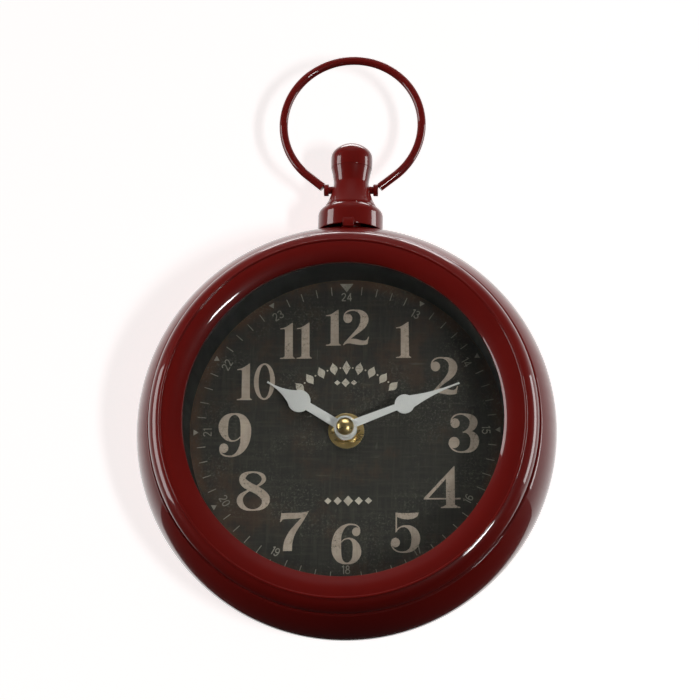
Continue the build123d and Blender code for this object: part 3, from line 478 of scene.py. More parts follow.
def filled(loops):
    """Triangles that fill the outlines, as indexes into their points taken together."""
    spots, edges = [], []
    for loop in loops:
        start = len(spots)
        spots += [Vector(point) for point in loop]
        edges += [(start + i, start + (i + 1) % len(loop)) for i in range(len(loop))]
    found = geometry.delaunay_2d_cdt(spots, edges, [], 0, 1e-7)
    points, triangles, origins = found[0], found[2], found[3]
    if len(points) != len(spots):
        raise RuntimeError("outlines cross each other")
    triangles_in = []
    for triangle in triangles:
        middle = sum((points[i] for i in triangle), Vector((0.0, 0.0))) / 3
        if inside(middle, loops):
            triangles_in.append([origins[i][0] for i in triangle])
    return triangles_in


def add_plate(mesh, loops, sections, place):
    """Adds a closed plate; a section is (inset, level), and place maps (a, b, level) to a point."""
    rings = [[drawn_in(loop, inset) for loop in loops] for inset, level in sections]
    vertices = [
        [[mesh.verts.new(place(a, b, level)) for a, b in loop] for loop in ring]
        for ring, (inset, level) in zip(rings, sections)
    ]
    for lower, upper in zip(vertices, vertices[1:]):
        for low_loop, high_loop in zip(lower, upper):
            count = len(low_loop)
            for i in range(count):
                j = (i + 1) % count
                mesh.faces.new((low_loop[i], low_loop[j], high_loop[j], high_loop[i]))
    for which, flip in ((0, True), (-1, False)):
        level_vertices = [vertex for loop in vertices[which] for vertex in loop]
        for triangle in filled(rings[which]):
            corners = [level_vertices[i] for i in triangle]
            mesh.faces.new(corners[::-1] if flip else corners)


# ---- making objects
def on_dial(across, up, out):
    """Point from millimetres across, up and out from the wall."""
    return Vector((across * MM, -out * MM, up * MM))


def round_dial(radius, out, angle):
    return on_dial(radius * cos(angle), radius * sin(angle), out)


def round_stem(radius, height, angle):
    return Vector((radius * cos(angle) * MM, -STEM_OUT + radius * sin(angle) * MM, height * MM))


def round_pin(radius, across, angle):
    return Vector(
        (across * MM, -STEM_OUT + radius * sin(angle) * MM, PIN_HEIGHT + radius * cos(angle) * MM),
    )


def add_turned(mesh, profile, place, segments):
    """Adds a ring turned from a closed profile of (radius, along) points."""
    rings = []
    for radius, along in profile:
        if radius < 1e-9:
            rings.append([mesh.verts.new(place(0.0, along, 0.0))] * segments)
        else:
            angles = [2 * pi * s / segments for s in range(segments)]
            rings.append([mesh.verts.new(place(radius, along, angle)) for angle in angles])
    for first, second in zip(rings, rings[1:] + rings[:1]):
        for s in range(segments):
            t = (s + 1) % segments
            corners = []
            for vertex in (first[s], first[t], second[t], second[s]):
                if vertex not in corners:
                    corners.append(vertex)
            if len(corners) > 2:
                mesh.faces.new(corners)


def finished_piece(context, name, mesh, finish, stands_for=(), body=None, slot=None, crease=32.0):
    """Turns a bmesh into an object that rides on the body of the node that it stands for."""
    bmesh.ops.recalc_face_normals(mesh, faces=mesh.faces[:])
    data = bpy.data.meshes.new(name)
    mesh.to_mesh(data)
    mesh.free()
    data.shade_smooth()
    data.set_sharp_from_angle(angle=radians(crease))
    data.materials.append(finish)
    piece = bpy.data.objects.new(name, data)
    context.scene.collection.objects.link(piece)
    if stands_for:
        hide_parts(*stands_for)
        body = body or BODY_OF[stands_for[0]]
        slot = slot or SLOT_OF[stands_for[0]]
    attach(piece, body)
    return piece


def give_finish(nodes, finish):
    """Puts a finish on carried-over nodes, in the slots that they already have."""
    for node in nodes:
        for slot in frame["nodes"][node].material_slots:
            slot.material = finish


# ---- shader bench
def add_node(tree, kind, inputs=None, **settings):
    """Adds a node; inputs maps a socket's name or number to a value or to an output socket."""
    made = tree.nodes.new(kind)
    for key, value in settings.items():
        setattr(made, key, value)
    for key, value in (inputs or {}).items():
        socket = made.inputs[key]
        if isinstance(value, bpy.types.NodeSocket):
            tree.links.new(value, socket)
        else:
            socket.default_value = value
    return made


def maths(tree, operation, first, second=0.0, third=None, clamp=False):
    values = {0: first, 1: second}
    if third is not None:
        values[2] = third
    return add_node(tree, "ShaderNodeMath", values, operation=operation, use_clamp=clamp).outputs[0]


def blended(tree, factor, first, second):
    """Mix of two colours by a factor socket; each is a colour socket or an RGB triple."""
    made = add_node(tree, "ShaderNodeMix", data_type="RGBA", blend_type="MIX", clamp_factor=True)
    tree.links.new(factor, made.inputs[0])
    for socket, value in ((made.inputs[6], first), (made.inputs[7], second)):
        if isinstance(value, bpy.types.NodeSocket):
            tree.links.new(value, socket)
        else:
            socket.default_value = (*value, 1.0)
    return made.outputs[2]


def stepped(tree, value, low, high, to_low=0.0, to_high=1.0):
    """Value spread smoothly from one range to another and held at its ends."""
    made = add_node(
        tree, "ShaderNodeMapRange", {0: value, 1: low, 2: high, 3: to_low, 4: to_high},
        interpolation_type="SMOOTHSTEP",
    )
    return made.outputs[0]


def group_tree(name, inputs, outputs):
    """New shader node group with float inputs; returns its tree, input node and output node."""
    tree = bpy.data.node_groups.new(name, "ShaderNodeTree")
    for label, default in inputs:
        socket = tree.interface.new_socket(
            name=label, in_out="INPUT", socket_type="NodeSocketFloat",
        )
        socket.default_value = default
    for label, kind in outputs:
        tree.interface.new_socket(name=label, in_out="OUTPUT", socket_type=kind)
    return tree, tree.nodes.new("NodeGroupInput"), tree.nodes.new("NodeGroupOutput")


def noise(tree, place, scale, detail=2.0, roughness=0.5):
    values = {"Vector": place, "Scale": scale, "Detail": detail, "Roughness": roughness}
    return add_node(tree, "ShaderNodeTexNoise", values).outputs["Fac"]


def stretched(tree, place, scale):
    return add_node(
        tree, "ShaderNodeVectorMath", {0: place, 1: scale}, operation="MULTIPLY",
    ).outputs[0]


def object_place(tree):
    return tree.nodes.new("ShaderNodeTexCoord").outputs["Object"]


def make_ripple_group():
    """Slight unevenness of a sprayed or moulded skin, as a height in metres."""
    tree, given, result = group_tree(
        "Skin Ripple", [("Scale", 300.0), ("Height", 0.00001)], [("Height", "NodeSocketFloat")],
    )
    wave = noise(tree, object_place(tree), given.outputs["Scale"], 2.0, 0.4)
    tree.links.new(maths(tree, "MULTIPLY", wave, given.outputs["Height"]), result.inputs["Height"])
    return tree


def make_mottle_group():
    """Soft cloudy mask from 0 to 1, with a contrast."""
    tree, given, result = group_tree(
        "Cloudy Mottle", [("Scale", 60.0), ("Contrast", 2.0)], [("Mask", "NodeSocketFloat")],
    )
    cloud = noise(tree, object_place(tree), given.outputs["Scale"], 5.0, 0.6)
    centred = maths(tree, "SUBTRACT", cloud, 0.5)
    spread = maths(tree, "MULTIPLY_ADD", centred, given.outputs["Contrast"], 0.5, clamp=True)
    tree.links.new(spread, result.inputs["Mask"])
    return tree


def make_handling_group():
    """Roughness between two values, cloudy, with a few faint wiping streaks."""
    tree, given, result = group_tree(
        "Handling Marks", [
            ("Scale", 25.0), ("Low", 0.05), ("High", 0.2),
        ], [("Roughness", "NodeSocketFloat")],
    )
    place = object_place(tree)
    cloud = noise(tree, place, given.outputs["Scale"], 3.0, 0.5)
    streaks = noise(tree, stretched(tree, place, (30.0, 30.0, 240.0)), 1.0, 3.0, 0.6)
    both = maths(tree, "MULTIPLY", cloud, streaks)
    mask = stepped(tree, both, 0.15, 0.42)
    span = maths(tree, "SUBTRACT", given.outputs["High"], given.outputs["Low"])
    tree.links.new(
        maths(tree, "MULTIPLY_ADD", mask, span, given.outputs["Low"]), result.inputs["Roughness"],
    )
    return tree


def make_linen_group():
    """Worn cloth-like print: fine weave, broad streaks, scratches and rust patches."""
    tree, given, result = group_tree(
        "Worn Linen Print", [("Thread Scale", 900.0), ("Stain Scale", 34.0)],
        [(label, "NodeSocketFloat") for label in ("Weave", "Streaks", "Scratches", "Stains")],
    )
    place = object_place(tree)
    upright = noise(
        tree, stretched(tree, place, (1.0, 1.0, 0.07)), given.outputs["Thread Scale"], 2.0,
    )
    lying = noise(
        tree, stretched(tree, place, (0.07, 1.0, 1.0)), given.outputs["Thread Scale"], 2.0,
    )
    weave = maths(tree, "MAXIMUM", upright, lying)
    tree.links.new(stepped(tree, weave, 0.5, 0.78), result.inputs["Weave"])
    broad_up = noise(tree, stretched(tree, place, (380.0, 1.0, 45.0)), 1.0, 4.0, 0.6)
    broad_across = noise(tree, stretched(tree, place, (45.0, 1.0, 380.0)), 1.0, 4.0, 0.6)
    streaks = maths(tree, "MULTIPLY", broad_up, broad_across)
    tree.links.new(stepped(tree, streaks, 0.18, 0.36), result.inputs["Streaks"])
    patch = noise(tree, place, given.outputs["Stain Scale"], 3.0, 0.6)
    nicks = noise(tree, place, 820.0, 5.0, 0.8)
    worn_place = stepped(tree, patch, 0.44, 0.62)
    scratches = maths(tree, "MULTIPLY", stepped(tree, nicks, 0.52, 0.61), worn_place)
    lines = stepped(tree, maths(tree, "MAXIMUM", broad_up, broad_across), 0.66, 0.74)
    both = maths(tree, "MAXIMUM", scratches, maths(tree, "MULTIPLY", lines, 0.6))
    tree.links.new(both, result.inputs["Scratches"])
    shifted = add_node(
        tree, "ShaderNodeVectorMath", {0: place, 1: (0.31, 0.0, 0.17)}, operation="ADD",
    ).outputs[0]
    stain_cloud = noise(tree, shifted, given.outputs["Stain Scale"], 5.0, 0.7)
    tree.links.new(stepped(tree, stain_cloud, 0.49, 0.68), result.inputs["Stains"])
    return tree


def make_tool_line_group():
    """Fine turning lines round the dial's axis, as a height in metres."""
    tree, given, result = group_tree(
        "Turning Lines", [
            ("Spacing", 0.0003), ("Height", 0.000004),
        ], [("Height", "NodeSocketFloat")],
    )
    flat = stretched(tree, object_place(tree), (1.0, 0.0, 1.0))
    radius = add_node(tree, "ShaderNodeVectorMath", {0: flat}, operation="LENGTH").outputs["Value"]
    step = maths(tree, "DIVIDE", radius, given.outputs["Spacing"])
    line = noise(tree, add_node(tree, "ShaderNodeCombineXYZ", {0: step}).outputs[0], 1.0, 2.0)
    tree.links.new(maths(tree, "MULTIPLY", line, given.outputs["Height"]), result.inputs["Height"])
    return tree


GROUP_MAKERS = {
    "Skin Ripple": make_ripple_group,
    "Cloudy Mottle": make_mottle_group,
    "Handling Marks": make_handling_group,
    "Worn Linen Print": make_linen_group,
    "Turning Lines": make_tool_line_group,
}


def effect(tree, name, **values):
    """Places a shared effect in a material with its own values; names use _ for a space."""
    group = bpy.data.node_groups.get(name) or GROUP_MAKERS[name]()
    made = tree.nodes.new("ShaderNodeGroup")
    made.node_tree = group
    for key, value in values.items():
        made.inputs[key.replace("_", " ")].default_value = value
    return made.outputs


def blank_finish(name):
    """New material with its tree, its Principled shader and nothing else linked."""
    material = bpy.data.materials.new(name)
    material.use_nodes = True
    tree = material.node_tree
    shader = next(node for node in tree.nodes if node.type == "BSDF_PRINCIPLED")
    return material, tree, shader


def bump(tree, height):
    values = {"Strength": 1.0, "Distance": 1.0, "Height": height}
    return add_node(tree, "ShaderNodeBump", values).outputs["Normal"]


def make_once(name, maker, *values):
    """The finish of that name, made the first time that a piece asks for it."""
    name += "_finish"
    return bpy.data.materials.get(name) or maker(name, *values)


def gloss_enamel(name, colours):
    """Dark red enamel under a clear glossy coat with a slight ripple."""
    material, tree, shader = blank_finish(name)
    cast = effect(tree, "Cloudy Mottle", Scale=22.0, Contrast=1.6)["Mask"]
    tree.links.new(
        blended(tree, cast, colours.enamel, colours.enamel_deep), shader.inputs["Base Color"],
    )
    ripple = effect(tree, "Skin Ripple", Scale=260.0, Height=0.000022)["Height"]
    tree.links.new(bump(tree, ripple), shader.inputs["Normal"])
    marks = effect(tree, "Handling Marks", Scale=18.0, Low=0.36, High=0.46)
    tree.links.new(marks["Roughness"], shader.inputs["Roughness"])
    shader.inputs["Specular IOR Level"].default_value = 0.12
    shader.inputs["Coat Weight"].default_value = 1.0
    shader.inputs["Coat Roughness"].default_value = 0.035
    shader.inputs["Coat IOR"].default_value = 1.5
    return material


def worn_ground(name, colours):
    """Charcoal dial print with streaks, threads, scratches, rust stains and a brown edge."""
    material, tree, shader = blank_finish(name)
    print_wear = effect(tree, "Worn Linen Print", Thread_Scale=800.0, Stain_Scale=34.0)
    base = blended(tree, print_wear["Streaks"], colours.ground_dark, colours.ground)
    weave = maths(tree, "MULTIPLY", print_wear["Weave"], 0.20)
    base = blended(tree, weave, base, colours.ground_pale)
    place = object_place(tree)
    flat = stretched(tree, place, (1.0, 0.0, 1.0))
    radius = add_node(tree, "ShaderNodeVectorMath", {0: flat}, operation="LENGTH").outputs["Value"]
    edge = stepped(tree, radius, 68.0 * MM, 73.5 * MM)
    ragged = maths(
        tree, "MULTIPLY", edge, stepped(tree, noise(tree, place, 70.0, 4.0, 0.65), 0.32, 0.62),
    )
    stained = maths(tree, "MAXIMUM", maths(tree, "MULTIPLY", print_wear["Stains"], 0.55), ragged)
    base = blended(tree, maths(tree, "MULTIPLY", stained, 0.75), base, colours.rust)
    base = blended(
        tree, maths(tree, "MULTIPLY", print_wear["Scratches"], 0.65), base, colours.ground_pale,
    )
    tree.links.new(base, shader.inputs["Base Color"])
    tree.links.new(
        stepped(tree, print_wear["Weave"], 0.0, 1.0, 0.55, 0.75), shader.inputs["Roughness"],
    )
    height = maths(tree, "MULTIPLY", print_wear["Weave"], 0.00003)
    tree.links.new(bump(tree, height), shader.inputs["Normal"])
    shader.inputs["Specular IOR Level"].default_value = 0.3
    return material


def worn_ink(name, fresh, worn, ground, bare):
    """Printed ink, mottled and rubbed through in places; bare is how much is rubbed through."""
    material, tree, shader = blank_finish(name)
    print_wear = effect(tree, "Worn Linen Print", Thread_Scale=1100.0, Stain_Scale=60.0)
    cloud = effect(tree, "Cloudy Mottle", Scale=95.0, Contrast=3.0)["Mask"]
    base = blended(tree, maths(tree, "MULTIPLY", cloud, 0.6), fresh, worn)
    base = blended(tree, maths(tree, "MULTIPLY", print_wear["Weave"], 0.45), base, worn)
    rubbed = maths(tree, "MULTIPLY", print_wear["Scratches"], bare)
    base = blended(tree, rubbed, base, ground)
    tree.links.new(base, shader.inputs["Base Color"])
    shader.inputs["Roughness"].default_value = 0.62
    shader.inputs["Specular IOR Level"].default_value = 0.25
    return material


def satin_paint(name, main, shade, rough, ripple_scale, ripple_height):
    """Painted or moulded skin with a slight cast and a fine unevenness."""
    material, tree, shader = blank_finish(name)
    cast = effect(tree, "Cloudy Mottle", Scale=40.0, Contrast=2.2)["Mask"]
    tree.links.new(blended(tree, cast, main, shade), shader.inputs["Base Color"])
    marks = effect(tree, "Handling Marks", Scale=30.0, Low=rough, High=min(1.0, rough + 0.14))
    tree.links.new(marks["Roughness"], shader.inputs["Roughness"])
    ripple = effect(tree, "Skin Ripple", Scale=ripple_scale, Height=ripple_height)["Height"]
    tree.links.new(bump(tree, ripple), shader.inputs["Normal"])
    return material


def bare_metal(name, main, shade, rough, lines):
    """Metal with turning lines of a given height and cloudy handling marks."""
    material, tree, shader = blank_finish(name)
    cast = effect(tree, "Cloudy Mottle", Scale=140.0, Contrast=2.4)["Mask"]
    tree.links.new(
        blended(tree, maths(tree, "MULTIPLY", cast, 0.7), main, shade), shader.inputs["Base Color"],
    )
    marks = effect(tree, "Handling Marks", Scale=120.0, Low=rough, High=rough + 0.16)
    tree.links.new(marks["Roughness"], shader.inputs["Roughness"])
    height = effect(tree, "Turning Lines", Spacing=0.00025, Height=lines)["Height"]
    tree.links.new(bump(tree, height), shader.inputs["Normal"])
    shader.inputs["Metallic"].default_value = 1.0
    return material


def window_glass(name):
    """Clear glass that lets the lights through to what is behind it."""
    material, tree, shader = blank_finish(name)
    shader.inputs["Base Color"].default_value = (0.985, 1.0, 0.992, 1.0)
    shader.inputs["Roughness"].default_value = 0.0
    shader.inputs["IOR"].default_value = 1.45
    shader.inputs["Transmission Weight"].default_value = 1.0
    clear = add_node(tree, "ShaderNodeBsdfTransparent", {"Color": (0.95, 0.965, 0.955, 1.0)})
    path = tree.nodes.new("ShaderNodeLightPath")
    result = next(node for node in tree.nodes if node.type == "OUTPUT_MATERIAL")
    mix = add_node(
        tree, "ShaderNodeMixShader",
        {0: path.outputs["Is Shadow Ray"], 1: shader.outputs[0], 2: clear.outputs[0]},
    )
    tree.links.new(mix.outputs[0], result.inputs["Surface"])
    return material


def enamel_finish(context):
    return make_once("red_gloss_enamel", gloss_enamel, context.scene.pocket_clock.colours)


def brass_finish(context):
    brass = context.scene.pocket_clock.colours.brass
    shade = (brass[0] * 0.8, brass[1] * 0.72, brass[2] * 0.6)
    return make_once("polished_brass", bare_metal, brass, shade, 0.26, 0.000003)


def steel_finish(context):
    steel = context.scene.pocket_clock.colours.steel
    return make_once("zinc_plated_steel", bare_metal, steel, (0.46, 0.47, 0.45), 0.28, 0.000006)


def black_finish(context):
    black = context.scene.pocket_clock.colours.black
    shade = (0.013, 0.014, 0.012)
    return make_once("satin_black_paint", satin_paint, black, shade, 0.5, 700.0, 0.00002)


# ---- case, bezel and glass
def side_profile(case, inset, steps):
    """Arc of the case's rounded side from the rear rim to the front face, as (radius, out)."""
    centre = case.case_radius - case.bulge_radius
    radius = case.bulge_radius - inset
    front = case.front_out - inset
    first = -asin(case.bulge_out / radius)
    last = asin((front - case.bulge_out) / radius)
    return arc((centre, case.bulge_out), radius, first, last, steps)


class CLOCK_OT_make_case(bpy.types.Operator):
    """Turn the enamelled case with its bulging side"""

    bl_idname = "clock.make_case"
    bl_label = "Case"

    def execute(self, context):
        case = sizes(context, "case")
        outer = side_profile(case, 0.0, 72)
        inner = side_profile(case, case.sheet, 48)[::-1]
        edge = outer.pop()
        turn_corner = rounded([
            (*outer[-1], 0.0), (*edge, case.edge_round), (case.lip_radius, case.front_out, 0.0),
        ], 8)[1:-1]
        profile = outer + turn_corner + [
            (case.lip_radius, case.front_out),
            (case.lip_radius, case.front_out + case.lip_height),
            (case.lip_radius - case.sheet, case.front_out + case.lip_height),
            (case.lip_radius - case.sheet, case.front_out),
            (case.glass_hole, case.front_out),
            (case.glass_hole, case.front_out - case.sheet),
        ] + inner
        mesh = bmesh.new()
        add_turned(mesh, profile, round_dial, 320)
        finished_piece(context, "enamelled_case", mesh, enamel_finish(context), ("case_shell",))
        return {"FINISHED"}


class CLOCK_OT_make_bezel(bpy.types.Operator):
    """Turn the bezel: round bead, raised line and the slope down to the glass"""

    bl_idname = "clock.make_bezel"
    bl_label = "Bezel"

    def execute(self, context):
        case = sizes(context, "case")
        start = case.front_out + case.skirt_height
        rise = case.bezel_out - case.ridge_height - start
        reach = case.skirt_radius - case.ridge_radius
        bead = (rise ** 2 + reach ** 2) / (2 * reach)
        centre = (case.skirt_radius - bead, start)
        last = asin(rise / bead)
        ridge_inner = case.ridge_radius - case.ridge_width
        top, bottom = (ridge_inner, case.bezel_out), (case.opening_radius, case.opening_out)
        glass_out = -GLASS_LOW.y / MM
        foot = (ridge_inner - case.ridge_groove / 2, case.bezel_out - case.ridge_groove)
        slope = [top] + self.swelled(foot, bottom, case.slope_swell, 20)
        back = self.swelled(
            (top[0] - case.ridge_width / 4, top[1] - case.sheet),
            (bottom[0] + case.sheet, bottom[1] - case.sheet), case.slope_swell, 12,
        )[::-1]
        front = [(case.skirt_radius, case.front_out)] + arc(centre, bead, 0.0, last, 28)
        front += [(case.ridge_radius, case.bezel_out)] + slope
        front += [(case.opening_radius, glass_out), (case.opening_radius + case.sheet, glass_out)]
        inner = arc(centre, bead - case.sheet, last, 0.0, 16) + [
            (case.skirt_radius - case.sheet, case.front_out),
        ]
        profile = soft_corners(front + back + inner, case.ridge_round, 24.0)
        mesh = bmesh.new()
        add_turned(mesh, profile, round_dial, 320)
        finished_piece(context, "enamelled_bezel", mesh, enamel_finish(context), ("front_bezel",))
        return {"FINISHED"}

    @staticmethod
    def swelled(start, end, swell, steps):
        """Arc between two points of the bezel's section that swells forward of a straight line."""
        run, fall = end[0] - start[0], end[1] - start[1]
        size = hypot(run, fall)
        middle = (
            (start[0] + end[0]) / 2 + swell * fall / size,
            (start[1] + end[1]) / 2 - swell * run / size,
        )
        return arc_through(start, middle, end, steps)


class CLOCK_OT_make_glazing(bpy.types.Operator):
    """Fit the glass, its gasket and the dark rim between the glass and the dial"""

    bl_idname = "clock.make_glazing"
    bl_label = "Glass and Inner Rim"

    def execute(self, context):
        case = sizes(context, "case")
        give_finish(["glass_lens"], make_once("clear_glass", window_glass))
        main, shade = (0.02, 0.02, 0.02), (0.03, 0.03, 0.03)
        rubber = make_once("seal_rubber", satin_paint, main, shade, 0.7, 900.0, 0.00003)
        give_finish(["lens_gasket", "cushion_washer"], rubber)
        dial_out = -RIM_HIGH.y / MM
        front = case.front_out + case.sheet
        profile = rounded([
            (case.rim_radius, front, 0.3),
            (case.rim_front, front, 0.0),
            (case.rim_front, case.front_out, 0.0),
            (case.rim_radius + case.sheet, case.front_out, 0.3),
            (case.rim_radius + case.sheet, dial_out + case.sheet, 0.3),
            (case.rim_rear, dial_out + case.sheet, 0.0),
            (case.rim_rear, dial_out, 0.0),
            (case.rim_radius, dial_out, 0.0),
        ])
        mesh = bmesh.new()
        add_turned(mesh, profile, round_dial, 256)
        finished_piece(context, "dark_inner_rim", mesh, black_finish(context), ("inner_rim",))
        return {"FINISHED"}


# ---- numerals
# Each numeral is (width, shapes), drawn at height 1. Its shapes are discs (x, y, radius), plates
# with straight sides, rings, strokes of a brush through (x, y, width), and another numeral's shapes
# turned half round a point. The plain numerals are paths, curves and loops of one width.
FLARED_DIGITS = {
    "1": (0.43, [
        ("plate", [(0.135, 0.03), (0.36, 0.03), (0.36, 1.0), (0.335, 0.995), (0.135, 0.865)]),
        ("plate", [(0.0, 0.822), (0.0, 0.846), (0.10, 0.862), (0.20, 0.905), (0.16, 0.80),
            (0.10, 0.828)]),
        ("plate", [(0.0, 0.0), (0.43, 0.0), (0.43, 0.022), (0.40, 0.032), (0.37, 0.07),
            (0.13, 0.07), (0.09, 0.036), (0.0, 0.024)]),
    ]),
    "2": (0.755, [
        ("disc", 0.148, 0.752, 0.128),
        ("stroke", [(0.033, 0.775, 0.03), (0.052, 0.862, 0.034), (0.12, 0.94, 0.04),
            (0.24, 0.98, 0.038), (0.38, 0.972, 0.05), (0.51, 0.925, 0.12), (0.60, 0.83, 0.20),
            (0.625, 0.72, 0.236), (0.59, 0.585, 0.205), (0.49, 0.455, 0.145), (0.34, 0.32, 0.09),
            (0.19, 0.185, 0.062), (0.09, 0.085, 0.046), (0.018, 0.008, 0.018)]),
        ("stroke", [(0.025, 0.02, 0.02), (0.10, 0.085, 0.07), (0.22, 0.118, 0.125),
            (0.36, 0.105, 0.15), (0.50, 0.078, 0.135), (0.63, 0.07, 0.115),
            (0.705, 0.085, 0.11)]),
        ("plate", [(0.62, 0.12), (0.66, 0.03), (0.715, 0.03), (0.755, 0.235), (0.735, 0.235),
            (0.70, 0.16)]),
    ]),
    "3": (0.81, [
        ("disc", 0.185, 0.752, 0.122),
        ("disc", 0.155, 0.262, 0.142),
        ("stroke", [(0.075, 0.775, 0.03), (0.10, 0.87, 0.034), (0.18, 0.945, 0.036),
            (0.30, 0.982, 0.036), (0.43, 0.972, 0.05), (0.56, 0.925, 0.12), (0.655, 0.84, 0.19),
            (0.675, 0.755, 0.21), (0.635, 0.655, 0.18), (0.55, 0.575, 0.11), (0.44, 0.53, 0.045),
            (0.385, 0.52, 0.03)]),
        ("stroke", [(0.385, 0.52, 0.03), (0.46, 0.528, 0.045), (0.57, 0.50, 0.12),
            (0.67, 0.41, 0.20), (0.70, 0.295, 0.228), (0.665, 0.17, 0.20), (0.58, 0.075, 0.13),
            (0.46, 0.03, 0.06), (0.33, 0.018, 0.036), (0.20, 0.045, 0.034), (0.09, 0.115, 0.034),
            (0.03, 0.21, 0.034), (0.026, 0.27, 0.03)]),
    ]),
    "4": (0.93, [
        ("plate", [(0.565, 0.03), (0.785, 0.03), (0.785, 1.0), (0.765, 1.0), (0.565, 0.76)]),
        ("plate", [(0.0, 0.21), (0.0, 0.235), (0.755, 0.998), (0.775, 0.95), (0.70, 0.84),
            (0.115, 0.235)]),
        ("plate", [(0.0, 0.205), (0.93, 0.205), (0.93, 0.240), (0.0, 0.240)]),
        ("plate", [(0.43, 0.0), (0.92, 0.0), (0.92, 0.022), (0.86, 0.034), (0.80, 0.07),
            (0.55, 0.07), (0.49, 0.034), (0.43, 0.022)]),
    ]),
    "5": (0.775, [
        ("disc", 0.125, 0.258, 0.118),
        ("plate", [(0.13, 1.0), (0.30, 0.985), (0.50, 0.985), (0.745, 1.0), (0.70, 0.90),
            (0.60, 0.845), (0.45, 0.825), (0.30, 0.84), (0.17, 0.885)]),
        ("plate", [(0.128, 1.0), (0.168, 1.0), (0.168, 0.53), (0.128, 0.50)]),
        ("stroke", [(0.145, 0.525, 0.024), (0.20, 0.60, 0.03), (0.29, 0.65, 0.036),
            (0.40, 0.655, 0.055), (0.52, 0.61, 0.13), (0.62, 0.50, 0.20), (0.66, 0.36, 0.228),
            (0.63, 0.21, 0.20), (0.55, 0.095, 0.125), (0.44, 0.035, 0.06), (0.32, 0.018, 0.034),
            (0.19, 0.035, 0.032), (0.085, 0.095, 0.034), (0.025, 0.19, 0.034),
            (0.018, 0.26, 0.03)]),
    ]),
    "6": (0.78, [
        ("disc", 0.648, 0.80, 0.108),
        ("stroke", [(0.745, 0.825, 0.026), (0.72, 0.905, 0.032), (0.635, 0.965, 0.036),
            (0.51, 0.985, 0.036), (0.39, 0.965, 0.055), (0.26, 0.87, 0.13), (0.165, 0.71, 0.20),
            (0.128, 0.50, 0.25), (0.135, 0.30, 0.245), (0.20, 0.135, 0.17), (0.30, 0.045, 0.08),
            (0.40, 0.02, 0.038), (0.51, 0.045, 0.08), (0.61, 0.13, 0.165), (0.665, 0.27, 0.228),
            (0.655, 0.42, 0.20), (0.59, 0.555, 0.115), (0.50, 0.625, 0.05), (0.42, 0.635, 0.032),
            (0.33, 0.61, 0.028), (0.255, 0.545, 0.024)]),
    ]),
    "7": (0.77, [
        ("plate", [(0.0, 0.725), (0.022, 0.725), (0.07, 0.79), (0.20, 0.80), (0.40, 0.80),
            (0.58, 0.83), (0.66, 0.88), (0.77, 1.0), (0.70, 0.975), (0.56, 0.955), (0.40, 0.948),
            (0.22, 0.95), (0.06, 0.94), (0.03, 0.955), (0.028, 0.90)]),
        ("stroke", [(0.735, 0.975, 0.03), (0.655, 0.87, 0.06), (0.54, 0.73, 0.105),
            (0.41, 0.575, 0.135), (0.30, 0.41, 0.175), (0.225, 0.22, 0.22), (0.205, 0.06, 0.235),
            (0.205, 0.0, 0.236)]),
    ]),
    "8": (0.90, [
        ("stroke", [(0.42, 0.982, 0.038), (0.29, 0.955, 0.075), (0.18, 0.88, 0.145),
            (0.155, 0.785, 0.18), (0.23, 0.685, 0.205), (0.38, 0.60, 0.20), (0.55, 0.515, 0.20),
            (0.70, 0.415, 0.215), (0.785, 0.30, 0.225), (0.765, 0.175, 0.18), (0.67, 0.075, 0.105),
            (0.54, 0.028, 0.05), (0.40, 0.02, 0.04), (0.26, 0.05, 0.08), (0.14, 0.14, 0.14),
            (0.09, 0.26, 0.165), (0.13, 0.375, 0.125), (0.24, 0.465, 0.07), (0.38, 0.54, 0.048),
            (0.53, 0.61, 0.05), (0.66, 0.69, 0.075), (0.73, 0.79, 0.115), (0.69, 0.89, 0.10),
            (0.57, 0.96, 0.055), (0.42, 0.982, 0.038)]),
    ]),
    "0": (0.60, [("ring", 0.30, 0.5, 0.30, 0.5, 0.165, 0.458)]),
}
FLARED_DIGITS["9"] = (0.78, [
    ("turned", FLARED_DIGITS["6"][1], 0.39, 0.5),
])

